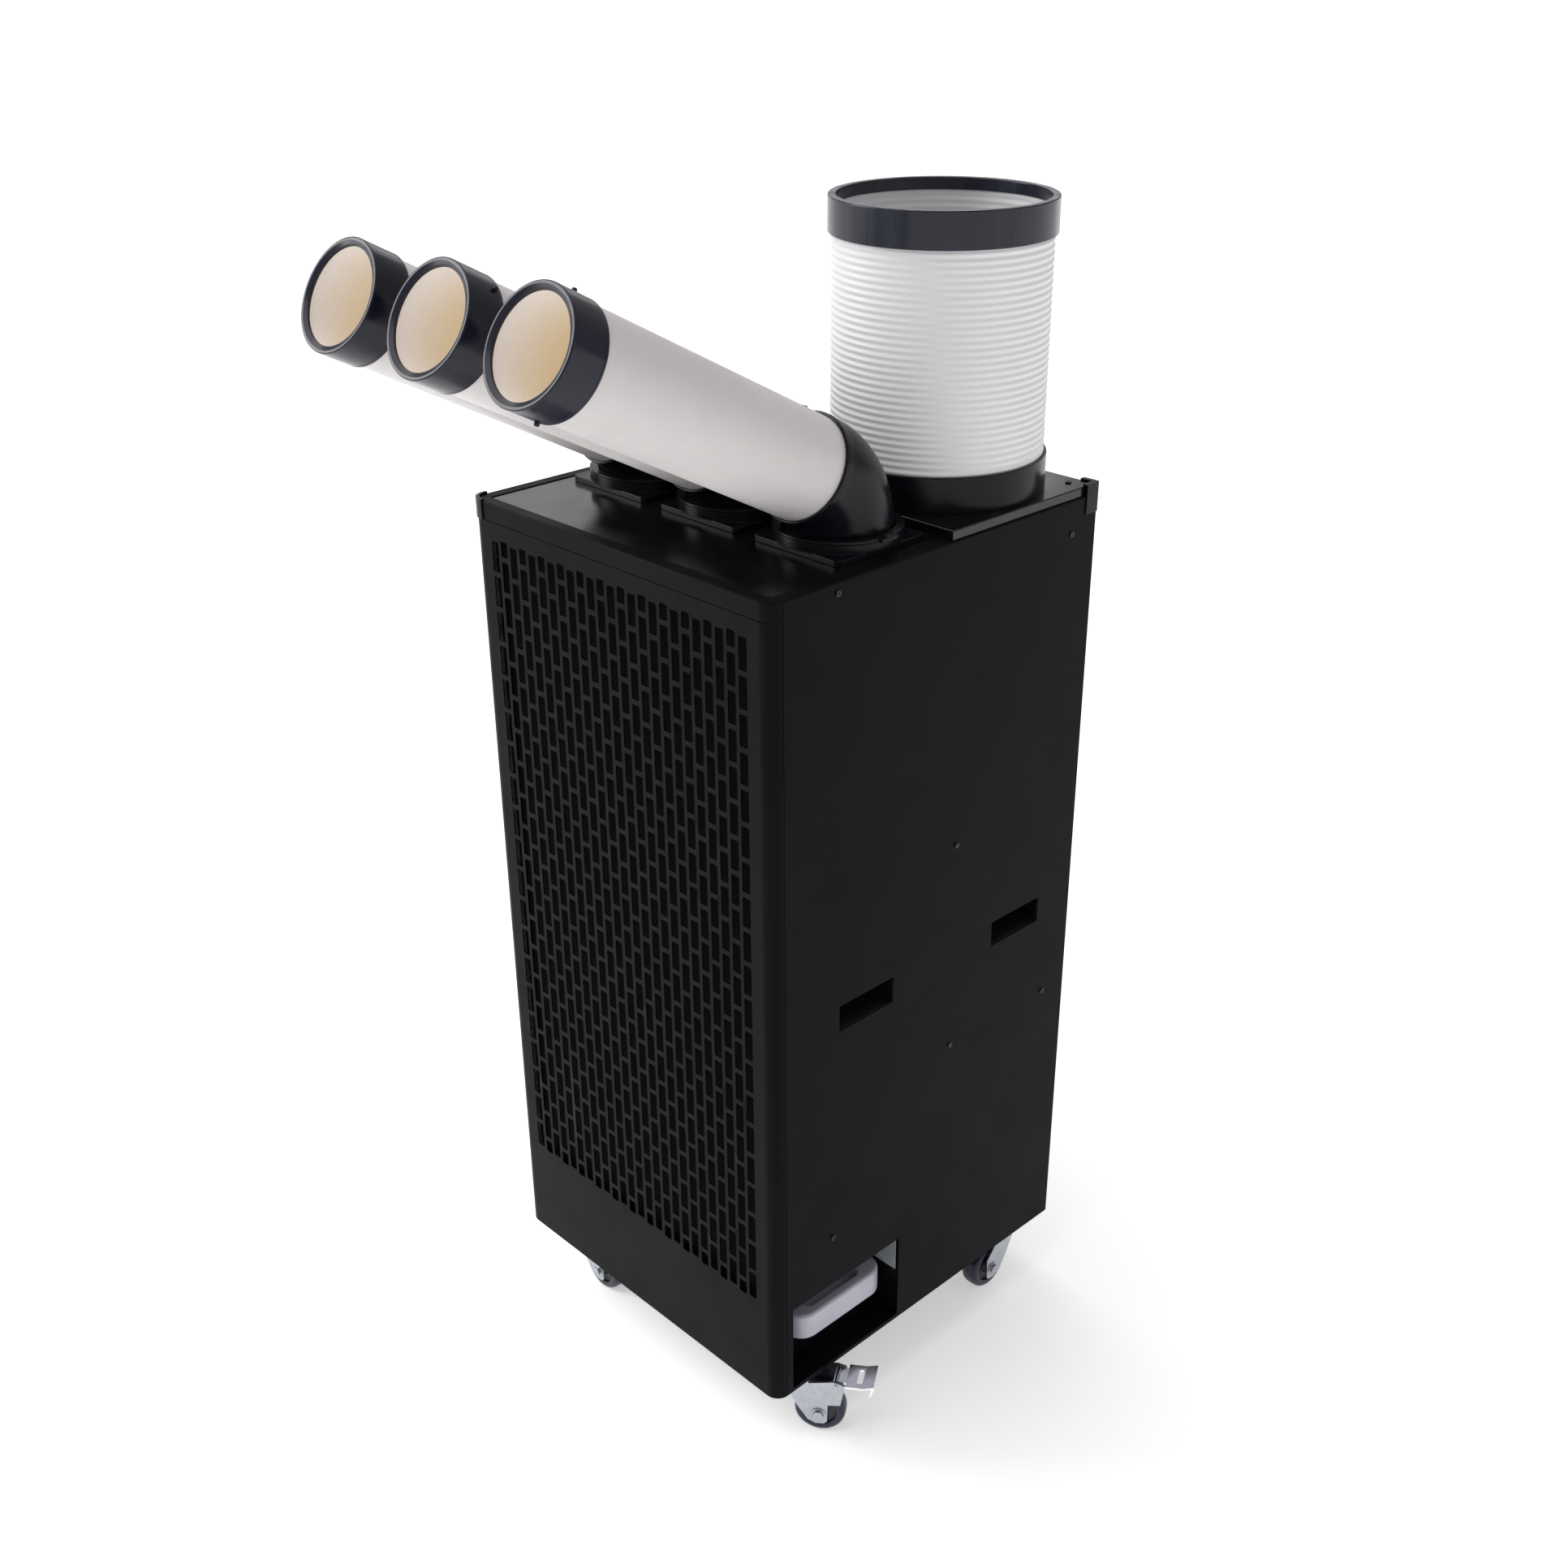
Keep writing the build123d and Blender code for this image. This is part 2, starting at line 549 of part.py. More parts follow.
with BuildPart() as electric_box:
    block(-225, -40, BACK - 75, BACK - 8, 930, 1090)
    block(-223, -42, BACK - 73, BACK - 8, 932, 1088, Mode.SUBTRACT)
write(electric_box.part, "electric_box")


with BuildPart() as control_panel:
    block(PANEL_X - PANEL_W / 2, PANEL_X + PANEL_W / 2, BACK, BACK + PANEL_T,
          PANEL_Z - PANEL_H / 2, PANEL_Z + PANEL_H / 2)
    fillet(control_panel.faces().sort_by(Axis.Y)[-1].edges(), 2)
    block(PANEL_X - PANEL_W / 2 + 14, PANEL_X + PANEL_W / 2 - 14, BACK - 6, BACK,
          PANEL_Z - PANEL_H / 2 + 14, PANEL_Z + PANEL_H / 2 - 14)
    block(PANEL_X - 40, PANEL_X + 60, BACK + PANEL_T - 2, BACK + PANEL_T,
          PANEL_Z + 2, PANEL_Z + 32, Mode.SUBTRACT)
    with BuildSketch(Plane.XZ.offset(-BACK - PANEL_T)):
        with Locations(*[(x, BUTTON_Z) for x in BUTTONS.values()]):
            Circle(BUTTON_R + BUTTON_GAP)
    extrude(amount=PANEL_T + 3, mode=Mode.SUBTRACT)
write(control_panel.part, "control_panel")


with BuildPart() as display_window:
    block(PANEL_X - 40, PANEL_X + 60, BACK + PANEL_T - 2, BACK + PANEL_T - 0.5,
          PANEL_Z + 2, PANEL_Z + 32)
write(display_window.part, "display_window")


def button(x):
    with BuildPart() as cap_part:
        with BuildSketch(Plane.XZ.offset(-BACK - PANEL_T - BUTTON_PROUD)):
            with Locations((x, BUTTON_Z)):
                Circle(BUTTON_R)
        extrude(amount=BUTTON_PROUD + PANEL_T)
        fillet(cap_part.edges().filter_by(GeomType.CIRCLE).sort_by(Axis.Y)[-1], 1.2)
    return cap_part.part


for button_name, button_x in BUTTONS.items():
    write(button(button_x), button_name)


with BuildPart() as cord_gland:
    with BuildSketch(Plane.XZ.offset(-BACK)):
        with Locations((-190, 150)):
            RegularPolygon(14, 6)
            Circle(4.5, mode=Mode.SUBTRACT)
    extrude(amount=-8)
    with BuildSketch(Plane.XZ.offset(-BACK - 8)):
        with Locations((-190, 150)):
            Circle(10.5)
            Circle(4.5, mode=Mode.SUBTRACT)
    extrude(amount=-8)
    with BuildSketch(Plane.XZ.offset(-BACK)):
        with Locations((-190, 150)):
            Circle(9)
            Circle(4.5, mode=Mode.SUBTRACT)
    extrude(amount=12)
write(cord_gland.part, "cord_gland")


# ================================================================ drain tank and its bay

with BuildPart() as tank_bay:
    bay_x1, bay_x0 = SIDE - 2 * SHEET - LIFT, SIDE - BAY_DEPTH
    outer_z0 = CAB_BOTTOM + 2.0
    block(bay_x0, bay_x1, BAY_Y0 - SHEET, BAY_Y1 + SHEET, outer_z0, BAY_Z1 + SHEET)
    shelf_z = TANK_Z0 - SHELF_FIT
    block(bay_x0 + SHEET, bay_x1, BAY_Y0, BAY_Y1, shelf_z, BAY_Z1, Mode.SUBTRACT)
    block(SHELF_X, bay_x1, BAY_Y0, BAY_Y1, outer_z0 + SHEET, shelf_z, Mode.SUBTRACT)
    block(bay_x0, SHELF_X - SHEET, BAY_Y0 - SHEET, BAY_Y1 + SHEET, outer_z0, shelf_z - SHEET,
          Mode.SUBTRACT)
write(tank_bay.part, "tank_bay")


with BuildPart() as bay_guide_plate:
    guide_y1 = BAY_Y1 - 0.2
    block(GUIDE_X0, GUIDE_X1, guide_y1 - GUIDE_T, guide_y1, GUIDE_Z0, BAY_Z1 - 0.2)
write(bay_guide_plate.part, "bay_guide_plate")


def tank_body(inset):
    """The tank's outer form, low at the handle end, moved in by inset."""
    with BuildPart(mode=Mode.PRIVATE) as form:
        for x1, top in ((TANK_X1, TANK_LOW_Z), (TANK_STEP_X, TANK_HIGH_Z)):
            with BuildSketch(Plane.XY.offset(TANK_Z0 + inset)):
                with Locations(((TANK_X0 + x1) / 2, (TANK_Y0 + TANK_Y1) / 2)):
                    RectangleRounded(x1 - TANK_X0 - 2 * inset, TANK_Y1 - TANK_Y0 - 2 * inset,
                                     TANK_R - inset)
            extrude(amount=top - TANK_Z0 - 2 * inset)
    return form.part


with BuildPart() as drain_tank:
    add(tank_body(0))
    add(tank_body(TANK_WALL), mode=Mode.SUBTRACT)
    with BuildSketch(Plane.XY.offset(TANK_LOW_Z)):
        with Locations((GRIP_X, GRIP_Y)):
            SlotOverall(GRIP_L + 2 * TANK_WALL, GRIP_W + 2 * TANK_WALL, rotation=90)
    extrude(amount=-GRIP_DEPTH - TANK_WALL)
    with BuildSketch(Plane.XY.offset(TANK_LOW_Z)):
        with Locations((GRIP_X, GRIP_Y)):
            SlotOverall(GRIP_L, GRIP_W, rotation=90)
    extrude(amount=-GRIP_DEPTH, mode=Mode.SUBTRACT)
    with BuildSketch(Plane.XY.offset(TANK_HIGH_Z)):
        with Locations((DRIP_X, DRIP_Y)):
            Circle(DRIP_R)
    extrude(amount=-2 * TANK_WALL, mode=Mode.SUBTRACT)
write(drain_tank.part, "drain_tank")


# ================================================================ cold arms

def outlet_flange(x):
    """A square plate with the raised ring that a swivelling elbow sits in."""
    with BuildPart() as flange:
        with BuildSketch(Plane.XY.offset(PLATE_TOP)):
            with Locations((x, ARM_Y)):
                RectangleRounded(FLANGE_W, FLANGE_W, FLANGE_CORNER_R)
                Circle(SPIGOT_R + RUN_FIT, mode=Mode.SUBTRACT)
        extrude(amount=FLANGE_T)
        with BuildSketch(Plane.XY.offset(PLATE_TOP + FLANGE_T)):
            with Locations((x, ARM_Y)):
                Circle(RING_R)
                Circle(FOOT_R + LIFT, mode=Mode.SUBTRACT)
        extrude(amount=RING_H)
    return flange.part


def clamp_ring(x):
    """The ring that holds the elbow's foot down, with two screwed ears."""
    with BuildPart() as ring:
        with BuildSketch(Plane.XY.offset(RING_TOP)):
            with Locations((x, ARM_Y)):
                Circle(RING_R + 0.5)
                with PolarLocations(RING_R, 2):
                    Rectangle(EAR_W, EAR_L)
                Circle(ELBOW_R + 1.0, mode=Mode.SUBTRACT)
        extrude(amount=CLAMP_T)
    return ring.part


write(Compound(children=[outlet_flange(x) for x in ARM_X.values()]), "outlet_flanges")
write(Compound(children=[clamp_ring(x) for x in ARM_X.values()]), "clamp_rings")


def arm_path(x, z_start, s_end):
    """The arm's centre line: up from z_start, round the bend, out to s_end."""
    knee = Vector(x, ARM_Y, CAB_TOP + ARM_KNEE)
    bend_in = knee - Vector(0, 0, BEND_TANGENT)
    bend_out = knee + AIM * BEND_TANGENT
    with BuildLine(mode=Mode.PRIVATE) as path:
        Line((x, ARM_Y, z_start), bend_in)
        TangentArc(bend_in, bend_out, tangent=(0, 0, 1))
        Line(bend_out, knee + AIM * s_end)
    return path.line


def arm_plane(x, s):
    """The plane across the arm at distance s from the knee."""
    return Plane(origin=Vector(x, ARM_Y, CAB_TOP + ARM_KNEE) + AIM * s, x_dir=(1, 0, 0),
                 z_dir=AIM)


def elbow(x):
    foot_z0 = PLATE_TOP + FLANGE_T + LIFT
    spigot_z0 = PLATE_TOP - 4.0
    with BuildPart() as bend:
        with BuildSketch(Plane.XY.offset(foot_z0)):
            with Locations((x, ARM_Y)):
                Circle(ELBOW_R)
        sweep(path=arm_path(x, foot_z0, ELBOW_END))
        with BuildSketch(Plane.XY.offset(foot_z0)):
            with Locations((x, ARM_Y)):
                Circle(FOOT_R)
        extrude(amount=RING_H - 2 * LIFT)
        with BuildSketch(Plane.XY.offset(spigot_z0)):
            with Locations((x, ARM_Y)):
                Circle(SPIGOT_R)
        extrude(amount=foot_z0 - spigot_z0)
        with BuildSketch(Plane.XY.offset(spigot_z0)):
            with Locations((x, ARM_Y)):
                Circle(ELBOW_BORE_R)
        sweep(path=arm_path(x, spigot_z0, ELBOW_END), mode=Mode.SUBTRACT)
        with BuildSketch(arm_plane(x, TUBE_START)):
            Circle(TUBE_R + 0.1)
        extrude(amount=ELBOW_END - TUBE_START, mode=Mode.SUBTRACT)
    return bend.part


def cold_tube(x):
    with BuildPart() as tube:
        with BuildSketch(arm_plane(x, TUBE_START)):
            Circle(TUBE_R)
            Circle(TUBE_BORE_R, mode=Mode.SUBTRACT)
        extrude(amount=TUBE_END - TUBE_START)
    return tube.part


def nozzle(x, twist):
    """The collar that turns on the tube's end, with two finger studs."""
    with BuildPart() as collar:
        with BuildSketch(arm_plane(x, NOZZLE_START)):
            Circle(NOZZLE_R)
            Circle(NOZZLE_MOUTH_R, mode=Mode.SUBTRACT)
        extrude(amount=NOZZLE_END - NOZZLE_START)
        with BuildSketch(arm_plane(x, NOZZLE_START)):
            Circle(TUBE_R + RUN_FIT)
        extrude(amount=TUBE_END + LIFT - NOZZLE_START, mode=Mode.SUBTRACT)
        across = arm_plane(x, NOZZLE_START + STUD_BACK)
        for turn in (radians(twist), radians(twist + 180)):
            out = across.x_dir * sin(turn) + across.y_dir * cos(turn)
            with BuildSketch(Plane(origin=across.origin + out * (NOZZLE_R - 1.0), z_dir=out)):
                Circle(STUD_R)
            extrude(amount=STUD_H + 1.0)
    return collar.part


for arm, arm_x in ARM_X.items():
    write(elbow(arm_x), f"elbow_{arm}")
    write(cold_tube(arm_x), f"cold_tube_{arm}")
    write(nozzle(arm_x, ARM_TWIST[arm]), f"nozzle_{arm}")


# ================================================================ hot-air exhaust

def duct_ring(z0, z1, outer, bore):
    """A round ring on the exhaust's centre line."""
    with BuildPart(mode=Mode.PRIVATE) as ring:
        with BuildSketch(Plane.XY.offset(z0)):
            with Locations((DUCT_X, DUCT_Y)):
                Circle(outer)
                Circle(bore, mode=Mode.SUBTRACT)
        extrude(amount=z1 - z0)
    return ring.part


with BuildPart() as exhaust_socket:
    add(duct_ring(LID_TOP, DUCT_FOOT, SOCKET_R, COLLAR_MOUTH_R))
    add(duct_ring(DUCT_FOOT, SOCKET_TOP, SOCKET_R, DUCT_R + 0.1))
write(exhaust_socket.part, "exhaust_socket")

with BuildPart() as exhaust_duct:
    add(duct_ring(DUCT_FOOT, DUCT_TOP, DUCT_R, DUCT_BORE_R))
write(exhaust_duct.part, "exhaust_duct")

with BuildPart() as exhaust_collar:
    add(duct_ring(COLLAR_Z0, DUCT_TOP, COLLAR_R, DUCT_R + 0.1))
    add(duct_ring(DUCT_TOP, COLLAR_Z1, COLLAR_R, COLLAR_MOUTH_R))
write(exhaust_collar.part, "exhaust_collar")


# ================================================================ screws

SCREW_R, SCREW_H = 3.6, 1.8


def screw(plane):
    """A pan-head screw; the plane's +Z points out of the panel."""
    with BuildPart() as fixing:
        with BuildSketch(plane):
            Circle(SCREW_R)
        extrude(amount=SCREW_H)
        outward = Axis(plane.origin, plane.z_dir)
        fillet(fixing.faces().sort_by(outward)[-1].edges(), 0.8)
        with BuildSketch(plane.offset(SCREW_H)):
            Rectangle(0.8, 3.6)
            Rectangle(3.6, 0.8)
        extrude(amount=-0.7, mode=Mode.SUBTRACT)
    return fixing.part


SIDE_SCREWS = [(95, 1128), (297, 763), (299, 483), (479, 481), (479, 1100), (95, 300)]
LID_SCREWS = [(SIDE - 25, BACK - 24), (-SIDE + 25, BACK - 24), (-SIDE + 25, LID_Y + 20)]
screws = []
for side in (-1, 1):
    for from_front, z in SIDE_SCREWS:
        at = Plane(origin=(side * SIDE, FRONT + from_front, z), z_dir=(side, 0, 0))
        screws.append(screw(at))
for x, y in LID_SCREWS:
    screws.append(screw(Plane(origin=(x, y, LID_TOP), z_dir=(0, 0, 1))))
for arm_x in ARM_X.values():
    for side in (-1, 1):
        ear = (arm_x + side * (RING_R + 0.5), ARM_Y, RING_TOP + CLAMP_T)
        screws.append(screw(Plane(origin=ear, z_dir=(0, 0, 1))))
write(Compound(children=screws), "panel_screws")


# ================================================================ casters
# Each caster is made at the origin with its wheel trailing along +X, then placed.

def caster_plate():
    """The bolted plate with its ball race and kingpin."""
    with BuildPart() as mount:
        with BuildSketch(Plane.XY.offset(CAB_BOTTOM)):
            RectangleRounded(58, 58, 5)
            with GridLocations(44, 44, 2, 2):
                Circle(3.2, mode=Mode.SUBTRACT)
        extrude(amount=-CASTER_PLATE_T)
        with BuildSketch(Plane.XY.offset(CROWN_Z1 + LIFT)):
            Circle(RACE_R)
        extrude(amount=CAB_BOTTOM - CASTER_PLATE_T - CROWN_Z1 - LIFT)
        with BuildSketch(Plane.XY.offset(CROWN_Z1 + LIFT)):
            Circle(KINGPIN_R)
        extrude(amount=CROWN_Z0 - LIFT - CROWN_Z1 - LIFT - 3)
        with BuildSketch(Plane.XY.offset(CROWN_Z0 - LIFT)):
            Circle(KINGPIN_R + 3)
        extrude(amount=-3)
    return mount.part


def caster_fork(braked):
    """A pressed crown and two legs, with the axle bolt through them."""
    with BuildPart() as fork:
        with BuildSketch(Plane.XY.offset(CROWN_Z0)):
            Circle(RACE_R + 2)
            with Locations((10, 0)):
                Rectangle(26, LEG_GAP + 2 * LEG_T)
            Circle(KINGPIN_R + PIN_FIT, mode=Mode.SUBTRACT)
        extrude(amount=CROWN_Z1 - CROWN_Z0)
        for leg_y in (LEG_GAP / 2, -LEG_GAP / 2 - LEG_T):
            with BuildSketch(Plane.XZ.offset(-leg_y - LEG_T)):
                with BuildLine():
                    Polyline((-10, CROWN_Z0 + 1), (24, CROWN_Z0 + 1), (48, 52), (47, 22),
                             (43, 18), (32, 17), (22, 22), (9, 42), (-10, CROWN_Z0 + 1))
                make_face()
                if braked:
                    with BuildLine():
                        Polyline((18, CROWN_Z0 + 1), (54, PEDAL_PIN_Z + 6),
                                 (66, PEDAL_PIN_Z + 3), (68, PEDAL_PIN_Z - 8), (64, 52),
                                 (46, 49), (18, CROWN_Z0 + 1))
                    make_face()
            extrude(amount=LEG_T)
        if braked:
            pin_plane = Plane.XZ.offset(LEG_GAP / 2 + LEG_T + 1)
            with BuildSketch(pin_plane):
                with Locations((PEDAL_PIN_U, PEDAL_PIN_Z)):
                    Circle(PEDAL_PIN_R)
            extrude(amount=-LEG_GAP - 2 * LEG_T - 2)
        bolt_l = LEG_GAP + 2 * LEG_T
        with BuildSketch(Plane.XZ.offset(bolt_l / 2 + 4)):
            with Locations((TRAIL, WHEEL_R)):
                Circle(AXLE_R)
        extrude(amount=-bolt_l - 8)
        for side in (1, -1):
            with BuildSketch(Plane.XZ.offset(side * bolt_l / 2)):
                with Locations((TRAIL, WHEEL_R)):
                    RegularPolygon(NUT_R, 6)
            extrude(amount=side * NUT_T)
    return fork.part


def caster_wheel():
    """A rounded tyre on a dished hub."""
    half = WHEEL_W / 2
    with BuildPart() as wheel:
        with BuildSketch(Plane.XZ.offset(-half)):
            with Locations((TRAIL, WHEEL_R)):
                Circle(WHEEL_R)
        extrude(amount=WHEEL_W)
        fillet(wheel.edges().filter_by(GeomType.CIRCLE), 5)
        for plane, inward in ((Plane.XZ.offset(half), -5), (Plane.XZ.offset(-half), 5)):
            with BuildSketch(plane):
                with Locations((TRAIL, WHEEL_R)):
                    Circle(HUB_DISH_R)
                    Circle(HUB_BOSS_R, mode=Mode.SUBTRACT)
            extrude(amount=inward, mode=Mode.SUBTRACT)
        with BuildSketch(Plane.XZ.offset(-half - 2)):
            with Locations((TRAIL, WHEEL_R)):
                Circle(HUB_BOSS_R - 2.0)
        extrude(amount=WHEEL_W + 4)
        with BuildSketch(Plane.XZ.offset(-half - 2)):
            with Locations((TRAIL, WHEEL_R)):
                Circle(AXLE_R + PIN_FIT)
        extrude(amount=WHEEL_W + 4, mode=Mode.SUBTRACT)
    return wheel.part


def brake_pedal():
    """A folded lever on a cross pin: a narrow hinge arm and a broad tread with a bent tip."""
    pin_z, tip = PEDAL_PIN_Z, PEDAL_TIP_U
    with BuildPart() as pedal:
        with BuildSketch(Plane.XZ.offset(-PEDAL_HINGE_W / 2)):
            with Locations((PEDAL_PIN_U, pin_z)):
                Circle(PEDAL_PIN_R + 2.5)
            with BuildLine():
                Polyline((PEDAL_PIN_U, pin_z + 4.5), (76, pin_z + 3.5), (76, pin_z + 0.5),
                         (PEDAL_PIN_U, pin_z - 1), (PEDAL_PIN_U, pin_z + 4.5))
            make_face()
            with Locations((PEDAL_PIN_U, pin_z)):
                Circle(PEDAL_PIN_R + PIN_FIT, mode=Mode.SUBTRACT)
        extrude(amount=PEDAL_HINGE_W)
        with BuildSketch(Plane.XZ.offset(-PEDAL_W / 2)):
            with BuildLine():
                Polyline((70, pin_z + 4), (92, pin_z + 5), (tip, pin_z + 9), (tip + 1, pin_z + 7),
                         (tip - 3, pin_z - 7), (tip - 5.5, pin_z - 6.5), (tip - 3, pin_z + 5),
                         (92, pin_z + 2), (70, pin_z + 1), (70, pin_z + 4))
            make_face()
        extrude(amount=PEDAL_W)
        with BuildSketch(Plane.XY.offset(pin_z - 2)):
            with Locations((87, 0)):
                RectangleRounded(7, 24, 1.5)
        extrude(amount=12, mode=Mode.SUBTRACT)
    return pedal.part


def place(shape, spot):
    """Turn a finished caster piece to its heading and stand it at its corner."""
    x, y, heading = spot
    return shape.moved(Location((x, y, 0), (0, 0, heading)))


pivots = [(x, y) for x, y, heading in CASTERS.values()]
write(Compound(children=[place(caster_plate(), (x, y, 0)) for x, y in pivots]), "caster_plates")
for corner, spot in CASTERS.items():
    braked = corner in BRAKED
    write(place(caster_fork(braked), spot), f"fork_{corner}")
    write(place(caster_wheel(), spot), f"wheel_{corner}")
    if braked:
        write(place(brake_pedal(), spot), f"pedal_{corner}")
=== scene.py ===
import json
import math

import bmesh
import bpy
from mathutils import Matrix, Vector


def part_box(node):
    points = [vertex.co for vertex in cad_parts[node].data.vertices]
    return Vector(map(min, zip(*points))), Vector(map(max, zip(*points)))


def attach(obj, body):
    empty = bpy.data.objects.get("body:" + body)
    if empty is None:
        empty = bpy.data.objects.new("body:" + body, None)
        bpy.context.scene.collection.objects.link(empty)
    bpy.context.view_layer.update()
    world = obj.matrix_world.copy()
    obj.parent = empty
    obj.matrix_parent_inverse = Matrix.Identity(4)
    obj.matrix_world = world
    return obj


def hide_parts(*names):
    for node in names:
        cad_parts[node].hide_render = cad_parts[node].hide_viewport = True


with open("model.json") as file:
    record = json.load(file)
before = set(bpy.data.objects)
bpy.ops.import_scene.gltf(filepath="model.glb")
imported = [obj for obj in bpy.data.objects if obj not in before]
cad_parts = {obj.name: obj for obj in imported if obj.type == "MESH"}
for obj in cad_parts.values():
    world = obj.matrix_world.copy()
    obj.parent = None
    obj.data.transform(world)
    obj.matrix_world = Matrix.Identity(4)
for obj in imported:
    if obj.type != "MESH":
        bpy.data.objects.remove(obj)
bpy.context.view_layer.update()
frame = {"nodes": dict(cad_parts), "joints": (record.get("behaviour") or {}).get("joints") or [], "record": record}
NODES = frame["nodes"]
BODY_OF = {node: body for body, members in frame["record"]["behaviour"]["bodies"].items()
           for node in members}
MOUNTS = {mount["name"]: mount for mount in frame["record"]["mounts"]}
ARMS = ("left", "middle", "right")
CORNERS = ("front_left", "front_right", "rear_left", "rear_right")
BRAKED = ("front_left", "front_right")
MM = 0.001
UP = Vector((0, 0, 1))


# ---------------------------------------------------------------- materials

def new_material(name, color, roughness, metallic=0.0):
    """A Principled material; returns it with its nodes, links and shader."""
    material = bpy.data.materials.new(name)
    material.use_nodes = True
    nodes, links = material.node_tree.nodes, material.node_tree.links
    shader = nodes["Principled BSDF"]
    shader.inputs["Base Color"].default_value = (*color, 1.0)
    shader.inputs["Roughness"].default_value = roughness
    shader.inputs["Metallic"].default_value = metallic
    return material, nodes, links, shader


NOISE_LOW, NOISE_HIGH = 0.3, 0.7


def object_coords(nodes):
    return nodes.new("ShaderNodeTexCoord").outputs["Object"]


def noise(nodes, links, scale, detail=3.0, stretch=(1.0, 1.0, 1.0)):
    """A noise value over the object, with scale in features per metre."""
    mapping = nodes.new("ShaderNodeMapping")
    mapping.inputs["Scale"].default_value = stretch
    links.new(object_coords(nodes), mapping.inputs["Vector"])
    texture = nodes.new("ShaderNodeTexNoise")
    texture.inputs["Scale"].default_value = scale
    texture.inputs["Detail"].default_value = detail
    links.new(mapping.outputs["Vector"], texture.inputs["Vector"])
    return texture.outputs["Fac"]


def ramp(nodes, links, value, low, high):
    """A colour from low to high over the band that noise values mostly lie in."""
    node = nodes.new("ShaderNodeValToRGB")
    node.color_ramp.elements[0].position = NOISE_LOW
    node.color_ramp.elements[0].color = (*low, 1.0)
    node.color_ramp.elements[1].position = NOISE_HIGH
    node.color_ramp.elements[1].color = (*high, 1.0)
    links.new(value, node.inputs["Fac"])
    return node.outputs["Color"]


def spread(nodes, links, value, low, high):
    """A number from low to high over the same band."""
    node = nodes.new("ShaderNodeMapRange")
    node.inputs["From Min"].default_value = NOISE_LOW
    node.inputs["From Max"].default_value = NOISE_HIGH
    node.inputs["To Min"].default_value = low
    node.inputs["To Max"].default_value = high
    links.new(value, node.inputs["Value"])
    return node.outputs["Result"]


def bump(nodes, links, shader, height, strength, distance):
    """Raises the shader's surface by the height value; distance is in metres."""
    node = nodes.new("ShaderNodeBump")
    node.inputs["Strength"].default_value = strength
    node.inputs["Distance"].default_value = distance
    links.new(height, node.inputs["Height"])
    links.new(node.outputs["Normal"], shader.inputs["Normal"])


def powder_coat(name, rough, shine):
    """Satin black powder coat: a faint orange peel and soft patches of dust and handling."""
    material, nodes, links, shader = new_material(name, (0.0045, 0.0045, 0.0055), rough)
    shader.inputs["Specular IOR Level"].default_value = shine
    patches = noise(nodes, links, 6.0, 4.0)
    links.new(ramp(nodes, links, patches, (0.0036, 0.0035, 0.0048), (0.0052, 0.0050, 0.0068)),
              shader.inputs["Base Color"])
    links.new(spread(nodes, links, noise(nodes, links, 16.0), rough - 0.05, rough + 0.05),
              shader.inputs["Roughness"])
    bump(nodes, links, shader, noise(nodes, links, 700.0, 2.0), 0.25, 0.00012)
    return material


def gloss_plastic(name, color, low_rough, high_rough, shine=0.5):
    """Moulded plastic: a fine grain, slight flow marks and uneven gloss."""
    material, nodes, links, shader = new_material(name, color, low_rough)
    shader.inputs["Specular IOR Level"].default_value = shine
    flow = noise(nodes, links, 20.0, 4.0)
    darker = tuple(c * 0.8 for c in color)
    lighter = tuple(c * 1.25 for c in color)
    links.new(ramp(nodes, links, flow, darker, lighter), shader.inputs["Base Color"])
    links.new(spread(nodes, links, noise(nodes, links, 45.0), low_rough, high_rough),
              shader.inputs["Roughness"])
    bump(nodes, links, shader, noise(nodes, links, 1500.0, 2.0), 0.12, 0.00006)
    return material


def drawn_and_sheen_plastic(name, low, high):
    """Glossy extruded plastic, with fine streaks along its height: streaks of roughness and bump, and lighter
    streaks of colour that are a painted reflection.
    """
    material, nodes, links, shader = new_material(name, low, 0.2)
    shader.inputs["Specular IOR Level"].default_value = 0.34
    streaks = noise(nodes, links, 55.0, 4.0, (1.0, 1.0, 0.04))
    # the lighter colour streaks are a painted reflection; the roughness and bump streaks are the surface's own
    links.new(ramp(nodes, links, streaks, low, high), shader.inputs["Base Color"])
    links.new(spread(nodes, links, streaks, 0.12, 0.34), shader.inputs["Roughness"])
    bump(nodes, links, shader, streaks, 0.15, 0.0003)
    return material


def pale_plastic(name, low, high, roughness, subsurface, grain):
    """Pale soft plastic with mottled colour and a fine surface grain."""
    material, nodes, links, shader = new_material(name, high, roughness)
    links.new(ramp(nodes, links, noise(nodes, links, 30.0, 5.0), low, high),
              shader.inputs["Base Color"])
    links.new(spread(nodes, links, noise(nodes, links, 60.0), roughness - 0.05, roughness + 0.07),
              shader.inputs["Roughness"])
    shader.inputs["Subsurface Weight"].default_value = subsurface
    shader.inputs["Subsurface Radius"].default_value = (0.006, 0.005, 0.005)
    bump(nodes, links, shader, noise(nodes, links, 900.0, 3.0), grain, 0.0001)
    return material


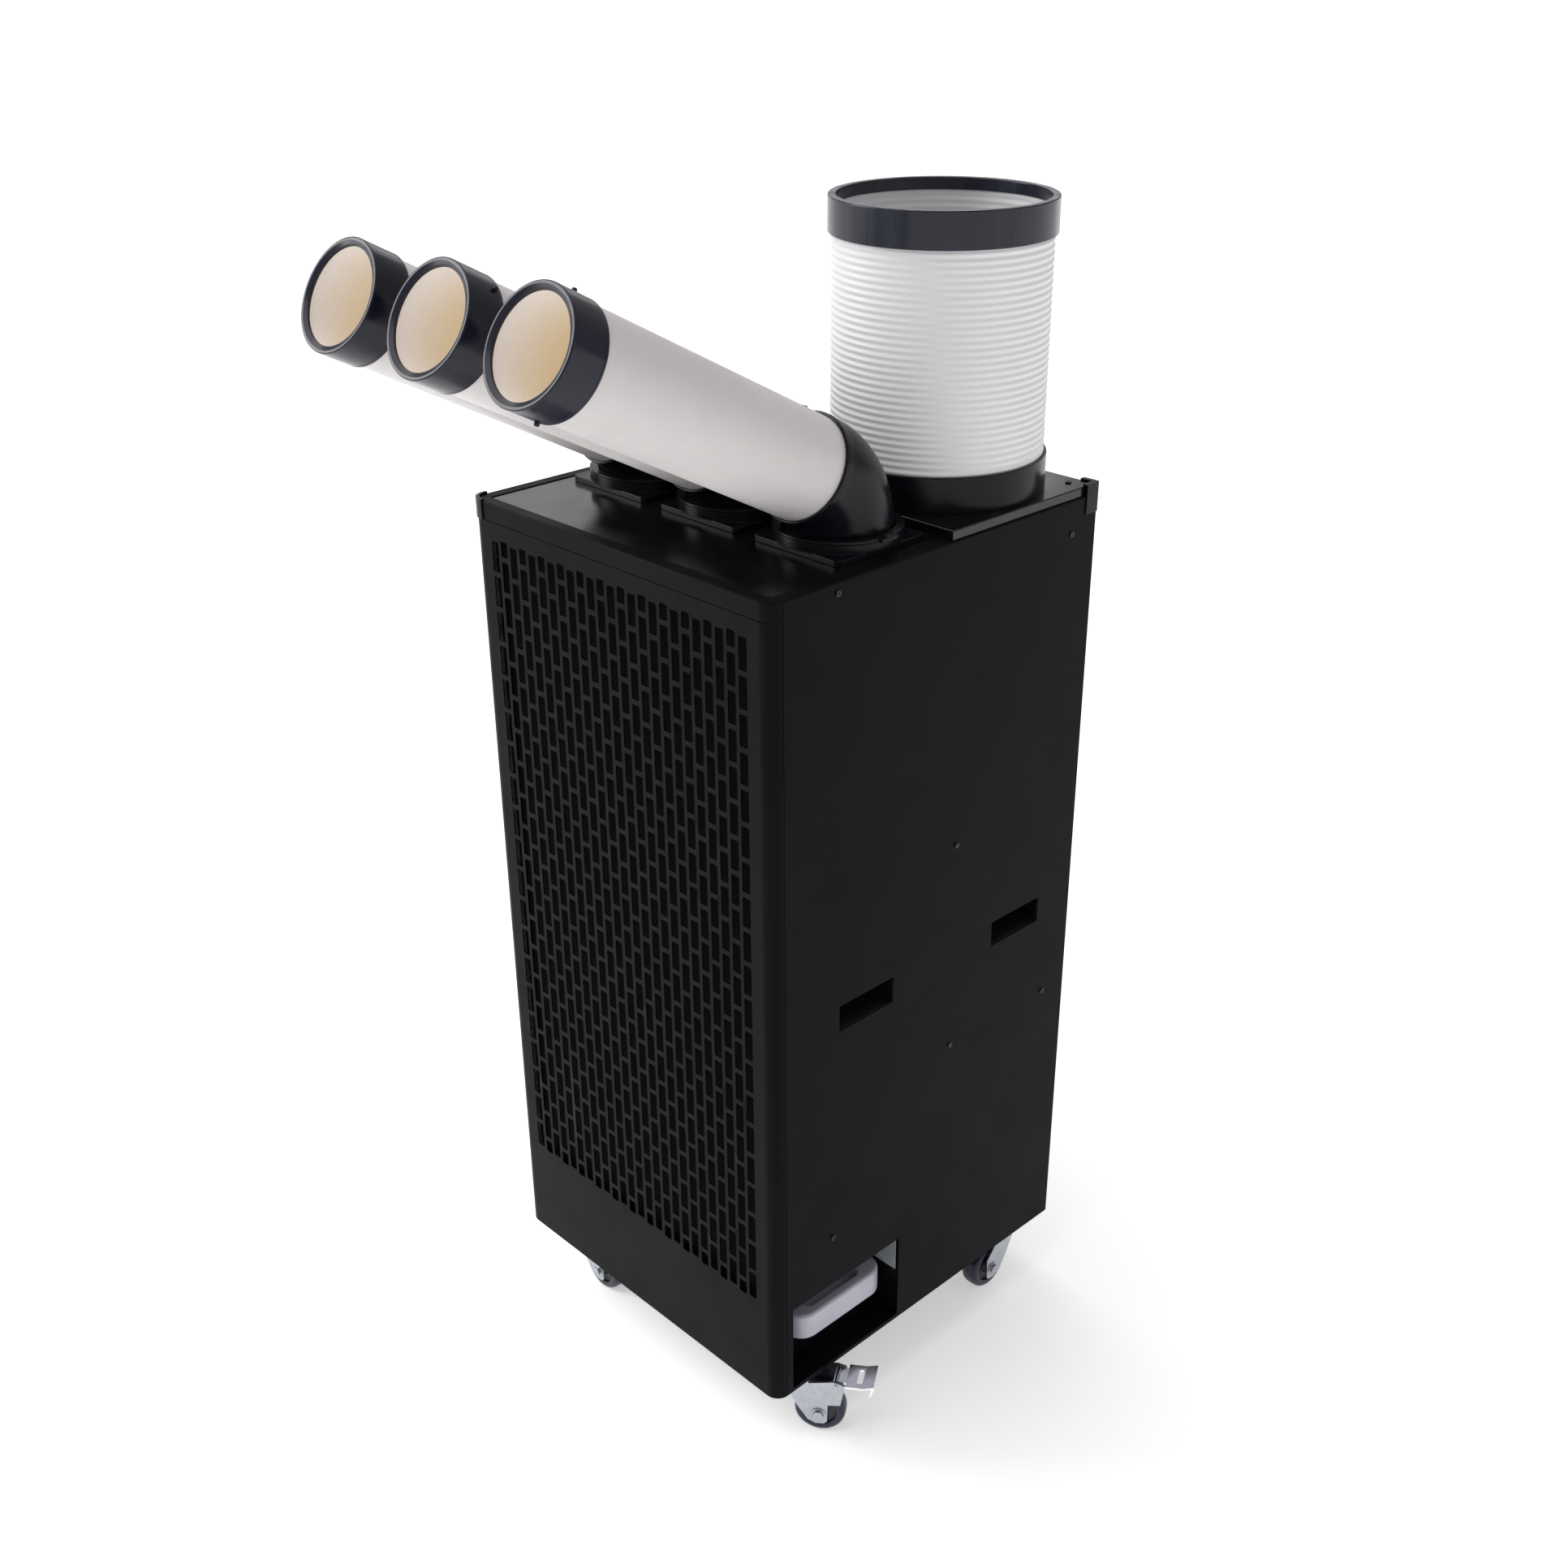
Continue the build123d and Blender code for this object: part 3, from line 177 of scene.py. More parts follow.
def tube_lining():
    """The tubes' inner face, in painted light: lit white near the mouth, warming to a darker cream deeper in as
    painted shade, with a faint painted glow.
    """
    material, nodes, links, shader = new_material("tube_lining", (0.8, 0.74, 0.58), 0.5)
    reach = nodes.new("ShaderNodeVectorMath")
    reach.operation = "DOT_PRODUCT"
    reach.inputs[1].default_value = AIM
    links.new(object_coords(nodes), reach.inputs[0])
    depth = nodes.new("ShaderNodeMapRange")
    depth.inputs["From Min"].default_value = MOUTH.dot(AIM) - LIT_WHITE_TO
    depth.inputs["From Max"].default_value = MOUTH.dot(AIM) - SHADED_CREAM_FROM
    links.new(reach.outputs["Value"], depth.inputs["Value"])
    painted_depth_light = nodes.new("ShaderNodeValToRGB")
    # painted light by depth: lit white near the mouth, warm painted shade deeper in the tube
    painted_depth_light.color_ramp.elements[0].color = (0.66, 0.62, 0.60, 1.0)
    painted_depth_light.color_ramp.elements[1].color = (0.62, 0.49, 0.26, 1.0)
    links.new(depth.outputs["Result"], painted_depth_light.inputs["Fac"])
    links.new(painted_depth_light.outputs["Color"], shader.inputs["Base Color"])
    # the emission is a painted glow standing in for light that comes through the tube's walls
    links.new(painted_depth_light.outputs["Color"], shader.inputs["Emission Color"])
    shader.inputs["Emission Strength"].default_value = 0.32
    bump(nodes, links, shader, noise(nodes, links, 600.0, 2.0), 0.1, 0.0001)
    return material


def metal(name, color, low_rough, high_rough, stretch=(1.0, 1.0, 1.0)):
    """Bare or plated metal with drawn, uneven brightness."""
    material, nodes, links, shader = new_material(name, color, low_rough, 1.0)
    streaks = noise(nodes, links, 120.0, 4.0, stretch)
    darker = tuple(c * 0.82 for c in color)
    links.new(ramp(nodes, links, streaks, darker, color), shader.inputs["Base Color"])
    links.new(spread(nodes, links, streaks, low_rough, high_rough), shader.inputs["Roughness"])
    bump(nodes, links, shader, noise(nodes, links, 900.0, 2.0, stretch), 0.1, 0.00005)
    return material


def filter_cloth():
    """The black filter mesh: a fine crossed weave seen as dots and dents."""
    material, nodes, links, shader = new_material("filter_cloth", (0.002, 0.002, 0.003), 0.9)
    shader.inputs["Specular IOR Level"].default_value = 0.05
    cells = nodes.new("ShaderNodeTexVoronoi")
    cells.inputs["Scale"].default_value = 520.0
    cells.inputs["Randomness"].default_value = 0.15
    links.new(object_coords(nodes), cells.inputs["Vector"])
    links.new(ramp(nodes, links, cells.outputs["Distance"], (0.0008, 0.0008, 0.0012),
                   (0.0035, 0.0035, 0.0045)), shader.inputs["Base Color"])
    bump(nodes, links, shader, cells.outputs["Distance"], 0.6, 0.0004)
    return material


def display_glass():
    """A dark smoked window with faint smears."""
    material, nodes, links, shader = new_material("display_glass", (0.006, 0.010, 0.014), 0.06)
    links.new(spread(nodes, links, noise(nodes, links, 90.0), 0.04, 0.12),
              shader.inputs["Roughness"])
    links.new(ramp(nodes, links, noise(nodes, links, 30.0), (0.004, 0.007, 0.010),
                   (0.010, 0.014, 0.018)), shader.inputs["Base Color"])
    return material


MOUTH = Vector(MOUNTS["cold_outlet_middle"]["pos_m"])
AIM = Vector(MOUNTS["cold_outlet_middle"]["axis"])
# depths over which the lining's painted light fades from lit white to shaded cream
LIT_WHITE_TO, SHADED_CREAM_FROM = 12.0 * MM, 120.0 * MM
COAT = powder_coat("powder_coat", 0.4, 0.04)
TOP_COAT = powder_coat("top_coat", 0.2, 0.45)
BLACK_PLASTIC = gloss_plastic("black_plastic", (0.0042, 0.0048, 0.007), 0.22, 0.30, 0.18)
COLLAR_BLUE = (0.0085, 0.0095, 0.019)
COLLAR_PLASTIC = gloss_plastic("collar_plastic", COLLAR_BLUE, 0.16, 0.24, 0.32)
# the lighter tone is the painted reflection in the collar's streaks
DRAWN_AND_SHEEN_PLASTIC = drawn_and_sheen_plastic("drawn_and_sheen_plastic", COLLAR_BLUE, (0.020, 0.023, 0.036))
TUBE_WHITE = pale_plastic("tube_white", (0.625, 0.595, 0.59), (0.645, 0.615, 0.61),
                          0.42, 0.05, 0.08)
DUCT_WHITE = pale_plastic("duct_white", (0.77, 0.755, 0.77), (0.79, 0.775, 0.79),
                          0.45, 0.05, 0.08)
TANK_WHITE = pale_plastic("tank_white", (0.53, 0.53, 0.62), (0.58, 0.58, 0.67),
                          0.36, 0.25, 0.10)
LINING = tube_lining()
ZINC = metal("zinc", (0.46, 0.48, 0.52), 0.26, 0.40)
CHROME = metal("pedal_chrome", (0.90, 0.91, 0.92), 0.08, 0.16)
GALVANISED = metal("galvanised", (0.60, 0.61, 0.63), 0.35, 0.5)
FINS = metal("fin_aluminium", (0.70, 0.71, 0.72), 0.3, 0.45, (1.0, 1.0, 0.1))
COPPER = metal("copper", (0.78, 0.42, 0.27), 0.25, 0.4)
TREAD = gloss_plastic("tread", (0.003, 0.0035, 0.030), 0.30, 0.42)
HUB = gloss_plastic("hub", (0.008, 0.009, 0.014), 0.35, 0.5)
GREY_SHEET = gloss_plastic("grey_sheet", (0.27, 0.29, 0.30), 0.4, 0.5)
MOTOR_PAINT = gloss_plastic("motor_paint", (0.05, 0.055, 0.06), 0.4, 0.55)
COMPRESSOR_PAINT = gloss_plastic("compressor_paint", (0.01, 0.01, 0.011), 0.2, 0.3)
SCREW_BLACK = metal("screw_black", (0.05, 0.05, 0.055), 0.3, 0.45)
BUTTON_GREY = gloss_plastic("button_grey", (0.30, 0.31, 0.33), 0.4, 0.5)
FILTER = filter_cloth()
GLASS = display_glass()

SLOT_MATERIAL = {
    "black_powder_coat": COAT, "black_plastic": BLACK_PLASTIC, "white_duct": TUBE_WHITE,
    "white_ribbed_duct": DUCT_WHITE, "tank_plastic": TANK_WHITE, "zinc": ZINC,
    "pedal_chrome": CHROME, "caster_tread": TREAD, "galvanised": GALVANISED,
    "filter_mesh": FILTER, "fin_aluminium": FINS, "copper": COPPER,
    "compressor_paint": COMPRESSOR_PAINT, "motor_paint": MOTOR_PAINT, "grey_sheet": GREY_SHEET,
    "black_screw": SCREW_BLACK, "display_glass": GLASS, "button_plastic": BUTTON_GREY,
}
NODE_SLOT = {row["node"]: row["material_slot"] for row in frame["record"]["subparts"]}


# ---------------------------------------------------------------- mesh helpers

def finish_mesh(name, mesh_data, materials, sharp_deg=32.0):
    """Makes an object from a bmesh: smooth faces, with the edges over sharp_deg kept sharp."""
    bmesh.ops.recalc_face_normals(mesh_data, faces=mesh_data.faces)
    for face in mesh_data.faces:
        face.smooth = True
    for edge in edges_over(mesh_data, sharp_deg):
        edge.smooth = False
    mesh = bpy.data.meshes.new(name)
    mesh_data.to_mesh(mesh)
    mesh_data.free()
    for material in materials:
        mesh.materials.append(material)
    piece = bpy.data.objects.new(name, mesh)
    bpy.context.scene.collection.objects.link(piece)
    evened = piece.modifiers.new("even_shading", "WEIGHTED_NORMAL")
    evened.keep_sharp = True
    evened.weight = 100
    return piece


def stand_for(piece, node, also=()):
    """The piece rides on its node's body and replaces it."""
    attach(piece, BODY_OF[node])
    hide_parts(node, *also)
    return piece


WELD = 0.004 * MM
FLAT_DEG = 0.6


def node_bmesh(node):
    """A node's mesh with its corners welded and its flat triangles joined."""
    data = bmesh.new()
    data.from_mesh(NODES[node].data)
    bmesh.ops.remove_doubles(data, verts=data.verts, dist=WELD)
    bmesh.ops.dissolve_limit(data, angle_limit=math.radians(FLAT_DEG), verts=data.verts,
                             edges=data.edges)
    return data


def edges_over(data, degrees):
    """The edges where two faces meet at more than this angle."""
    limit = math.radians(degrees)
    return [edge for edge in data.edges
            if len(edge.link_faces) == 2 and edge.calc_face_angle(0.0) > limit]


def bevel_edges(data, edges, width, segments):
    """Rounds the edges, by at most width."""
    bmesh.ops.bevel(data, geom=edges, offset=width, offset_type="OFFSET", segments=segments,
                    profile=0.5, affect="EDGES", clamp_overlap=True)


def polish(node, width, segments=2, material=None):
    """The node again, with every hard edge rounded as a press or a mould leaves it."""
    data = node_bmesh(node)
    bevel_edges(data, edges_over(data, 35), width, segments)
    look = material or SLOT_MATERIAL[NODE_SLOT[node]]
    return stand_for(finish_mesh(node + "_look", data, [look]), node)


def ring_points(centre, axis, radius, count, across):
    """Points of a circle round axis; across gives the direction of the first one."""
    side = axis.cross(across).normalized()
    out = side.cross(axis).normalized()
    turns = [2 * math.pi * k / count for k in range(count)]
    return [centre + (out * math.cos(a) + side * math.sin(a)) * radius for a in turns]


def ring_shell(name, stations, count, materials, closed=True, pick=None, across=None,
               sharp_deg=32.0):
    """A skin through a list of circles (centre, axis, radius), joined end to end if closed.

    pick(i) gives the material index of the band after station i.
    """
    data = bmesh.new()
    rows = []
    for centre, axis, radius in stations:
        start = across or (Vector((1, 0, 0)) if abs(axis.x) < 0.9 else UP)
        rows.append([data.verts.new(p) for p in ring_points(centre, axis, radius, count, start)])
    bands = len(rows) if closed else len(rows) - 1
    for i in range(bands):
        here, after = rows[i], rows[(i + 1) % len(rows)]
        for k in range(count):
            face = data.faces.new((here[k], here[(k + 1) % count], after[(k + 1) % count],
                                   after[k]))
            face.material_index = pick(i) if pick else 0
    return finish_mesh(name, data, materials, sharp_deg)


def turned(name, profile, origin, axis, count, materials, pick=None, sharp_deg=32.0):
    """A closed profile of (distance along axis, radius), turned about the axis."""
    stations = [(origin + axis * s, axis, r) for s, r in profile]
    return ring_shell(name, stations, count, materials, pick=pick, sharp_deg=sharp_deg)


def arc_points(s0, r0, radius, start_deg, end_deg, steps=5):
    """Points of an arc about (s0, r0), for a turned profile."""
    turns = [math.radians(start_deg + (end_deg - start_deg) * k / steps)
             for k in range(steps + 1)]
    return [(s0 + radius * math.cos(a), r0 + radius * math.sin(a)) for a in turns]


# ---------------------------------------------------------------- cabinet

def grille():
    """The front panel: its slots get rounded ends and every edge a soft press radius."""
    slot_corner, press_radius = 2.0 * MM, 0.25 * MM
    border = 22.0 * MM
    along_y = 0.99
    data = node_bmesh("front_grille")
    low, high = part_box("front_grille")
    inner = [edge for edge in data.edges
             if abs((edge.verts[0].co - edge.verts[1].co).normalized().y) > along_y
             and high.x - border > edge.verts[0].co.x > low.x + border]
    bevel_edges(data, inner, slot_corner, 3)
    bevel_edges(data, edges_over(data, 50), press_radius, 1)
    return stand_for(finish_mesh("front_grille_look", data, [COAT]), "front_grille")


TOPS = ("top_front_plate", "top_rear_cover")


def cabinet():
    """The grille, then each sheet and moulding with the edge radius it is given, in mm."""
    grille()
    for node, width in {
        "right_panel": 0.35, "left_panel": 0.35, "rear_panel": 0.3, "base_pan": 0.4,
        "top_rim": 0.35, "top_front_plate": 0.6, "top_rear_cover": 0.3, "corner_caps": 0.6,
        "handle_cups": 0.6, "tank_bay": 0.4, "bay_guide_plate": 0.3, "control_panel": 0.5,
        "cord_gland": 0.5,
    }.items():
        polish(node, width * MM, material=TOP_COAT if node in TOPS else None)


# ---------------------------------------------------------------- cold arms

FOOT_R = 66.2 * MM
ELBOW_R = 60.5 * MM
ELBOW_BORE = 53.0 * MM
TUBE_R = 57.0 * MM
TUBE_BORE = 54.5 * MM
TUBE_START, TUBE_END = 49.2 * MM, 439.4 * MM
TUBE_PITCH = 4.2 * MM


def arm_frame(arm):
    """The arm's aim, and the point where its tube's line crosses its swivel's line."""
    mount = MOUNTS["cold_outlet_" + arm]
    aim = Vector(mount["axis"]).normalized()
    mouth = Vector(mount["pos_m"])
    swivel_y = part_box("elbow_" + arm)[1].y - FOOT_R
    knee = mouth + aim * ((swivel_y - mouth.y) / aim.y)
    return aim, knee


def from_line(point, knee, aim):
    """The step from the tube's line out to a point."""
    step = point - knee
    return step - aim * step.dot(aim)


def elbow(arm):
    """A smooth moulded bend from the foot ring to the tube's socket, with a lip at its mouth."""
    tangent, socket_end = 48.0 * MM, 62.0 * MM
    bend_steps, around = 22, 96
    aim, knee = arm_frame(arm)
    half_turn = math.acos(aim.dot(UP)) / 2
    bend_r = tangent / math.tan(half_turn)
    bend_start = knee - UP * tangent
    toward = (aim - UP * aim.dot(UP)).normalized()
    middle = bend_start + toward * bend_r

    def at(turn):
        """Centre and direction at an angle round the bend."""
        place = middle - toward * bend_r * math.cos(turn) + UP * bend_r * math.sin(turn)
        return place, UP * math.cos(turn) + toward * math.sin(turn)

    foot = Vector((knee.x, knee.y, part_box("elbow_" + arm)[0].z))
    stations = []
    for rise, radius in ((0.0, 55.2), (0.8, 56.0), (11.3, 56.0), (11.3, 65.4), (12.1, 66.2),
                         (19.9, 66.2), (20.7, 65.4), (20.7, 61.8), (21.3, 60.9)):
        stations.append((foot + UP * rise * MM, UP, radius * MM))
    outward = [at(2 * half_turn * k / bend_steps) for k in range(bend_steps + 1)]
    stations += [(place, axis, ELBOW_R - 0.4 * MM) for place, axis in outward]
    lip = knee + aim * socket_end
    for back, radius in ((9.0, 60.1), (8.2, 60.5), (0.9, 60.5), (0.0, 59.8), (0.0, 57.9),
                         (0.7, 57.1), (12.9, 57.1), (12.9, 53.0)):
        stations.append((lip - aim * back * MM, aim, radius * MM))
    stations += [(place, axis, ELBOW_BORE) for place, axis in reversed(outward)]
    stations.append((foot, UP, ELBOW_BORE))
    piece = ring_shell("elbow_" + arm + "_look", stations, around, [BLACK_PLASTIC],
                       across=Vector((1, 0, 0)))
    return stand_for(piece, "elbow_" + arm)


def ribbed_line(start, stop, pitch, outer, depth, per_rib=4):
    """(distance, radius) points of a wall with even rounded ribs."""
    count = max(2, round((stop - start) / pitch) * per_rib)
    points = []
    for k in range(count + 1):
        s = start + (stop - start) * k / count
        wave = 0.5 - 0.5 * math.cos(2 * math.pi * (s - start) / pitch)
        points.append((s, outer - depth * wave))
    return points


def cold_tube(arm):
    """The white tube: barely ribbed outside, clearly ribbed inside."""
    aim, knee = arm_frame(arm)
    faint, clear = 0.16 * MM, 0.7 * MM
    outside = ribbed_line(TUBE_START, TUBE_END, TUBE_PITCH, TUBE_R, faint)
    inside = ribbed_line(TUBE_START, TUBE_END, TUBE_PITCH, TUBE_BORE + clear, clear)
    profile = outside + list(reversed(inside))
    count = len(outside)
    piece = turned("cold_tube_" + arm + "_look", profile, knee, aim, 96,
                   [TUBE_WHITE, LINING], pick=lambda i: 0 if i < count else 1, sharp_deg=50)
    return stand_for(piece, "cold_tube_" + arm)


def nozzle(arm):
    """The dark end collar: rounded outer lip, a stepped mouth and two finger studs, in mm."""
    aim, knee = arm_frame(arm)
    back, front = 402.5, 445.0
    stud_place, stud_foot = 411.5, 59.4
    profile = [(back, 57.15), (back, 59.0), (back + 0.8, 59.8), (back + 3.0, 59.8),
               (back + 3.4, 59.4), (back + 4.2, 59.4), (back + 4.6, 59.8)]
    profile += arc_points(front - 1.6, 58.2, 1.6, 90, 0)
    profile += [(front, 56.6), (front - 0.4, 55.6), (front - 1.0, 54.4), (front - 1.8, 52.2),
                (front - 2.4, 51.3), (front - 3.2, 51.0), (front - 4.8, 51.0),
                (front - 5.15, 51.4), (front - 5.15, 57.15)]
    scaled = [(s * MM, r * MM) for s, r in profile]
    piece = turned("nozzle_" + arm + "_look", scaled, knee, aim, 128, [COLLAR_PLASTIC])
    stand_for(piece, "nozzle_" + arm)
    node = NODES["nozzle_" + arm]
    far = max((v.co for v in node.data.vertices),
              key=lambda p: from_line(p, knee, aim).length)
    out = from_line(far, knee, aim).normalized()
    stud = [(0.0, 2.9), (2.6, 2.9), (3.0, 2.6), (4.2, 2.2), (4.5, 1.4), (4.5, 0.05),
            (0.0, 0.05)]
    for n, direction in enumerate((out, -out)):
        origin = knee + aim * stud_place * MM + direction * stud_foot * MM
        pin = turned(f"nozzle_{arm}_stud_{n + 1}", [(s * MM, r * MM) for s, r in stud], origin,
                     direction, 20, [COLLAR_PLASTIC])
        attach(pin, BODY_OF["nozzle_" + arm])


def outlets():
    polish("outlet_flanges", 1.0 * MM, 3)
    polish("clamp_rings", 0.9 * MM, 3)
    for arm in ARMS:
        elbow(arm)
        cold_tube(arm)
        nozzle(arm)


# ---------------------------------------------------------------- hot-air exhaust

def exhaust():
    """Socket, ribbed white duct and dark top collar, all on one upright line."""
    pitch, points_per_rib, lining = 7.8 * MM, 8, 3.0 * MM
    low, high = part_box("exhaust_duct")
    foot = Vector(((low.x + high.x) / 2, (low.y + high.y) / 2, 0))
    outer = (high.x - low.x) / 2
    outside = ribbed_line(low.z, high.z, pitch, outer, 1.1 * MM, points_per_rib)
    inside = ribbed_line(low.z, high.z, pitch, outer - lining, 0.6 * MM, points_per_rib)
    duct = turned("exhaust_duct_look", outside + list(reversed(inside)), foot, UP, 144,
                  [DUCT_WHITE], sharp_deg=60)
    stand_for(duct, "exhaust_duct")

    low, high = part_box("exhaust_collar")
    r = (high.x - low.x) / 2
    mouth = MOUNTS["exhaust_outlet"]["dims"]["r_mm"] * MM
    edge = 1.5 * MM
    profile = [(low.z, outer + 0.3 * MM), (low.z, r - 0.8 * MM), (low.z + 0.8 * MM, r)]
    profile += arc_points(high.z - edge, r - edge, edge, 90, 0)
    profile += arc_points(high.z - edge, mouth + edge, edge, 0, -90)
    profile += [(high.z - 13.5 * MM, mouth), (high.z - 13.9 * MM, mouth + 0.6 * MM),
                (high.z - 13.9 * MM, outer + 0.3 * MM)]
    collar = turned("exhaust_collar_look", profile, foot, UP, 160, [DRAWN_AND_SHEEN_PLASTIC])
    stand_for(collar, "exhaust_collar")

    low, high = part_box("exhaust_socket")
    r = (high.x - low.x) / 2
    profile = [(low.z, mouth), (low.z, r - 0.4 * MM), (low.z + 1.0 * MM, r)]
    profile += [(high.z - 1.0 * MM, r), (high.z - 0.2 * MM, r - 0.5 * MM),
                (high.z, r - 1.4 * MM), (high.z, outer + 0.5 * MM),
                (high.z - 0.5 * MM, outer + 0.2 * MM), (low.z + 20.2 * MM, outer + 0.2 * MM),
                (low.z + 20.0 * MM, mouth)]
    socket = turned("exhaust_socket_look", profile, foot, UP, 160, [BLACK_PLASTIC])
    stand_for(socket, "exhaust_socket")


# ---------------------------------------------------------------- drain tank

def rounded_loop(centre, half_x, half_y, radius, z, per_corner=10):
    """A rounded rectangle at height z, always with the same number of points."""
    points = []
    corners = [(1, 1, 0), (-1, 1, 90), (-1, -1, 180), (1, -1, 270)]
    for sx, sy, start in corners:
        cx = centre[0] + sx * (half_x - radius)
        cy = centre[1] + sy * (half_y - radius)
        for k in range(per_corner + 1):
            a = math.radians(start + 90 * k / per_corner)
            points.append(Vector((cx + radius * math.cos(a), cy + radius * math.sin(a), z)))
    return points


def loft(data, loops, cap_first=False, cap_last=False):
    """Joins loops of equal length with faces."""
    rows = [[data.verts.new(p) for p in loop] for loop in loops]
    count = len(rows[0])
    for here, after in zip(rows, rows[1:]):
        for k in range(count):
            data.faces.new((here[k], here[(k + 1) % count], after[(k + 1) % count], after[k]))
    if cap_first:
        data.faces.new(rows[0])
    if cap_last:
        data.faces.new(rows[-1])


def soft_sides(centre, half_x, half_y, radius, z0, z1, edge, steps=5):
    """Loops up the side of a soft-edged tank, rounded below and above."""
    loops = []
    for k in range(steps + 1):
        a = math.radians(90 - 90 * k / steps)
        inset, rise = edge * (1 - math.cos(a)), edge * (1 - math.sin(a))
        loops.append(rounded_loop(centre, half_x - inset, half_y - inset, radius - inset,
                                  z0 + rise))
    for k in range(steps + 1):
        a = math.radians(90 * k / steps)
        inset, rise = edge * (1 - math.cos(a)), edge * math.sin(a)
        loops.append(rounded_loop(centre, half_x - inset, half_y - inset, radius - inset,
                                  z1 - edge + rise))
    return loops


def drain_tank():
    """Blow-moulded tank: a low handle end with a finger slot, and the tall reservoir behind."""
    corner_r, low_edge, tall_edge = 26 * MM, 5 * MM, 7 * MM
    inset = 0.2 * MM
    low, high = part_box("drain_tank")
    low_top, step_x = low.z + 38.0 * MM, low.x + 116.0 * MM
    grip = (high.x - 24.0 * MM, low.y + 73.0 * MM)
    data = bmesh.new()
    centre = ((low.x + high.x) / 2, (low.y + high.y) / 2)
    half_x, half_y = (high.x - low.x) / 2, (high.y - low.y) / 2
    loops = soft_sides(centre, half_x, half_y, corner_r, low.z, low_top, low_edge)
    half_w, half_l = 10.0 * MM, 47.5 * MM
    for grow, drop in ((3.0, 0.0), (1.2, 0.5), (0.3, 1.6), (0.0, 3.0), (0.0, 16.0), (-1.2, 18.6),
                       (-4.0, 19.8)):
        g = grow * MM
        loops.append(rounded_loop(grip, half_w + g, half_l + g, half_w + g - 0.1 * MM,
                                  low_top - drop * MM))
    loft(data, loops, cap_first=True, cap_last=True)
    tall_centre = ((low.x + step_x) / 2, centre[1])
    tall = soft_sides(tall_centre, (step_x - low.x) / 2 - inset, half_y - inset, corner_r,
                      low.z + 1 * MM, high.z, tall_edge)
    for radius, drop in ((24.5, 0.0), (22.5, 0.8), (22.0, 2.2), (22.0, 22.0)):
        neck_r = radius * MM
        tall.append(rounded_loop(tall_centre, neck_r, neck_r, neck_r - 0.1 * MM,
                                 high.z - drop * MM))
    loft(data, tall, cap_first=True, cap_last=True)
    stand_for(finish_mesh("drain_tank_look", data, [TANK_WHITE], 40), "drain_tank")


# ---------------------------------------------------------------- casters

def axle(corner):
    """The middle of the wheel, and the direction of the axle that it rolls on."""
    name = f"caster_{corner}_roll"
    joint = next(joint for joint in frame["joints"] if joint["name"] == name)
    return Vector(joint["pos_m"]), Vector(joint["axis"]).normalized()


def wheel(corner):
    """A crowned navy tread on a dished hub, turned about its axle."""
    centre, axis = axle(corner)
    half = [(14.4, 4.1), (14.4, 8.4), (13.8, 9.0), (12.5, 9.2), (8.4, 11.2), (7.8, 12.4),
            (7.6, 19.0), (8.2, 21.1), (11.6, 22.1), (12.0, 22.9), (12.4, 23.7), (12.5, 25.5),
            (12.3, 28.2), (11.2, 30.3), (9.2, 31.9), (6.0, 32.7), (3.0, 32.95), (0.0, 33.0)]
    profile = [(-s * MM, r * MM) for s, r in half]
    profile += [(s * MM, r * MM) for s, r in reversed(half[:-1])]
    tread_from = 22.5 * MM

    def pick(i):
        return 0 if profile[i][1] > tread_from else 1

    piece = turned(f"wheel_{corner}_look", profile, centre, axis, 96, [TREAD, HUB], pick=pick)
    stand_for(piece, "wheel_" + corner)


def axle_washer(corner, side):
    """A zinc washer against the outer face of the fork, on one end of the axle."""
    centre, axis = axle(corner)
    washer = [(18.1, 4.2), (18.1, 9.6), (18.9, 9.6), (19.1, 9.2), (19.1, 4.2)]
    piece = turned(f"axle_washer_{corner}_{'a' if side > 0 else 'b'}",
                   [(s * MM, r * MM) for s, r in washer], centre, axis * side, 36, [ZINC])
    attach(piece, BODY_OF["fork_" + corner])


def casters():
    polish("caster_plates", 0.5 * MM)
    for corner in CORNERS:
        wheel(corner)
        polish("fork_" + corner, 0.7 * MM)
        for side in (1, -1):
            axle_washer(corner, side)
    for corner in BRAKED:
        polish("pedal_" + corner, 0.6 * MM)


# ---------------------------------------------------------------- the rest

def plain_nodes():
    """Every CAD node still on show gets its slot's material."""
    for node, thing in NODES.items():
        if thing.hide_render:
            continue
        thing.data.materials.clear()
        thing.data.materials.append(SLOT_MATERIAL[NODE_SLOT[node]])


# ---------------------------------------------------------------- stage

def area_light(name, place, target, width, height, power, color=(1.0, 1.0, 1.0)):
    data = bpy.data.lights.new(name, "AREA")
    data.shape = "RECTANGLE"
    data.size, data.size_y = width, height
    data.energy = power
    data.color = color
    lamp = bpy.data.objects.new(name, data)
    lamp.location = place
    lamp.rotation_euler = (Vector(target) - Vector(place)).to_track_quat("-Z", "Y").to_euler()
    bpy.context.scene.collection.objects.link(lamp)


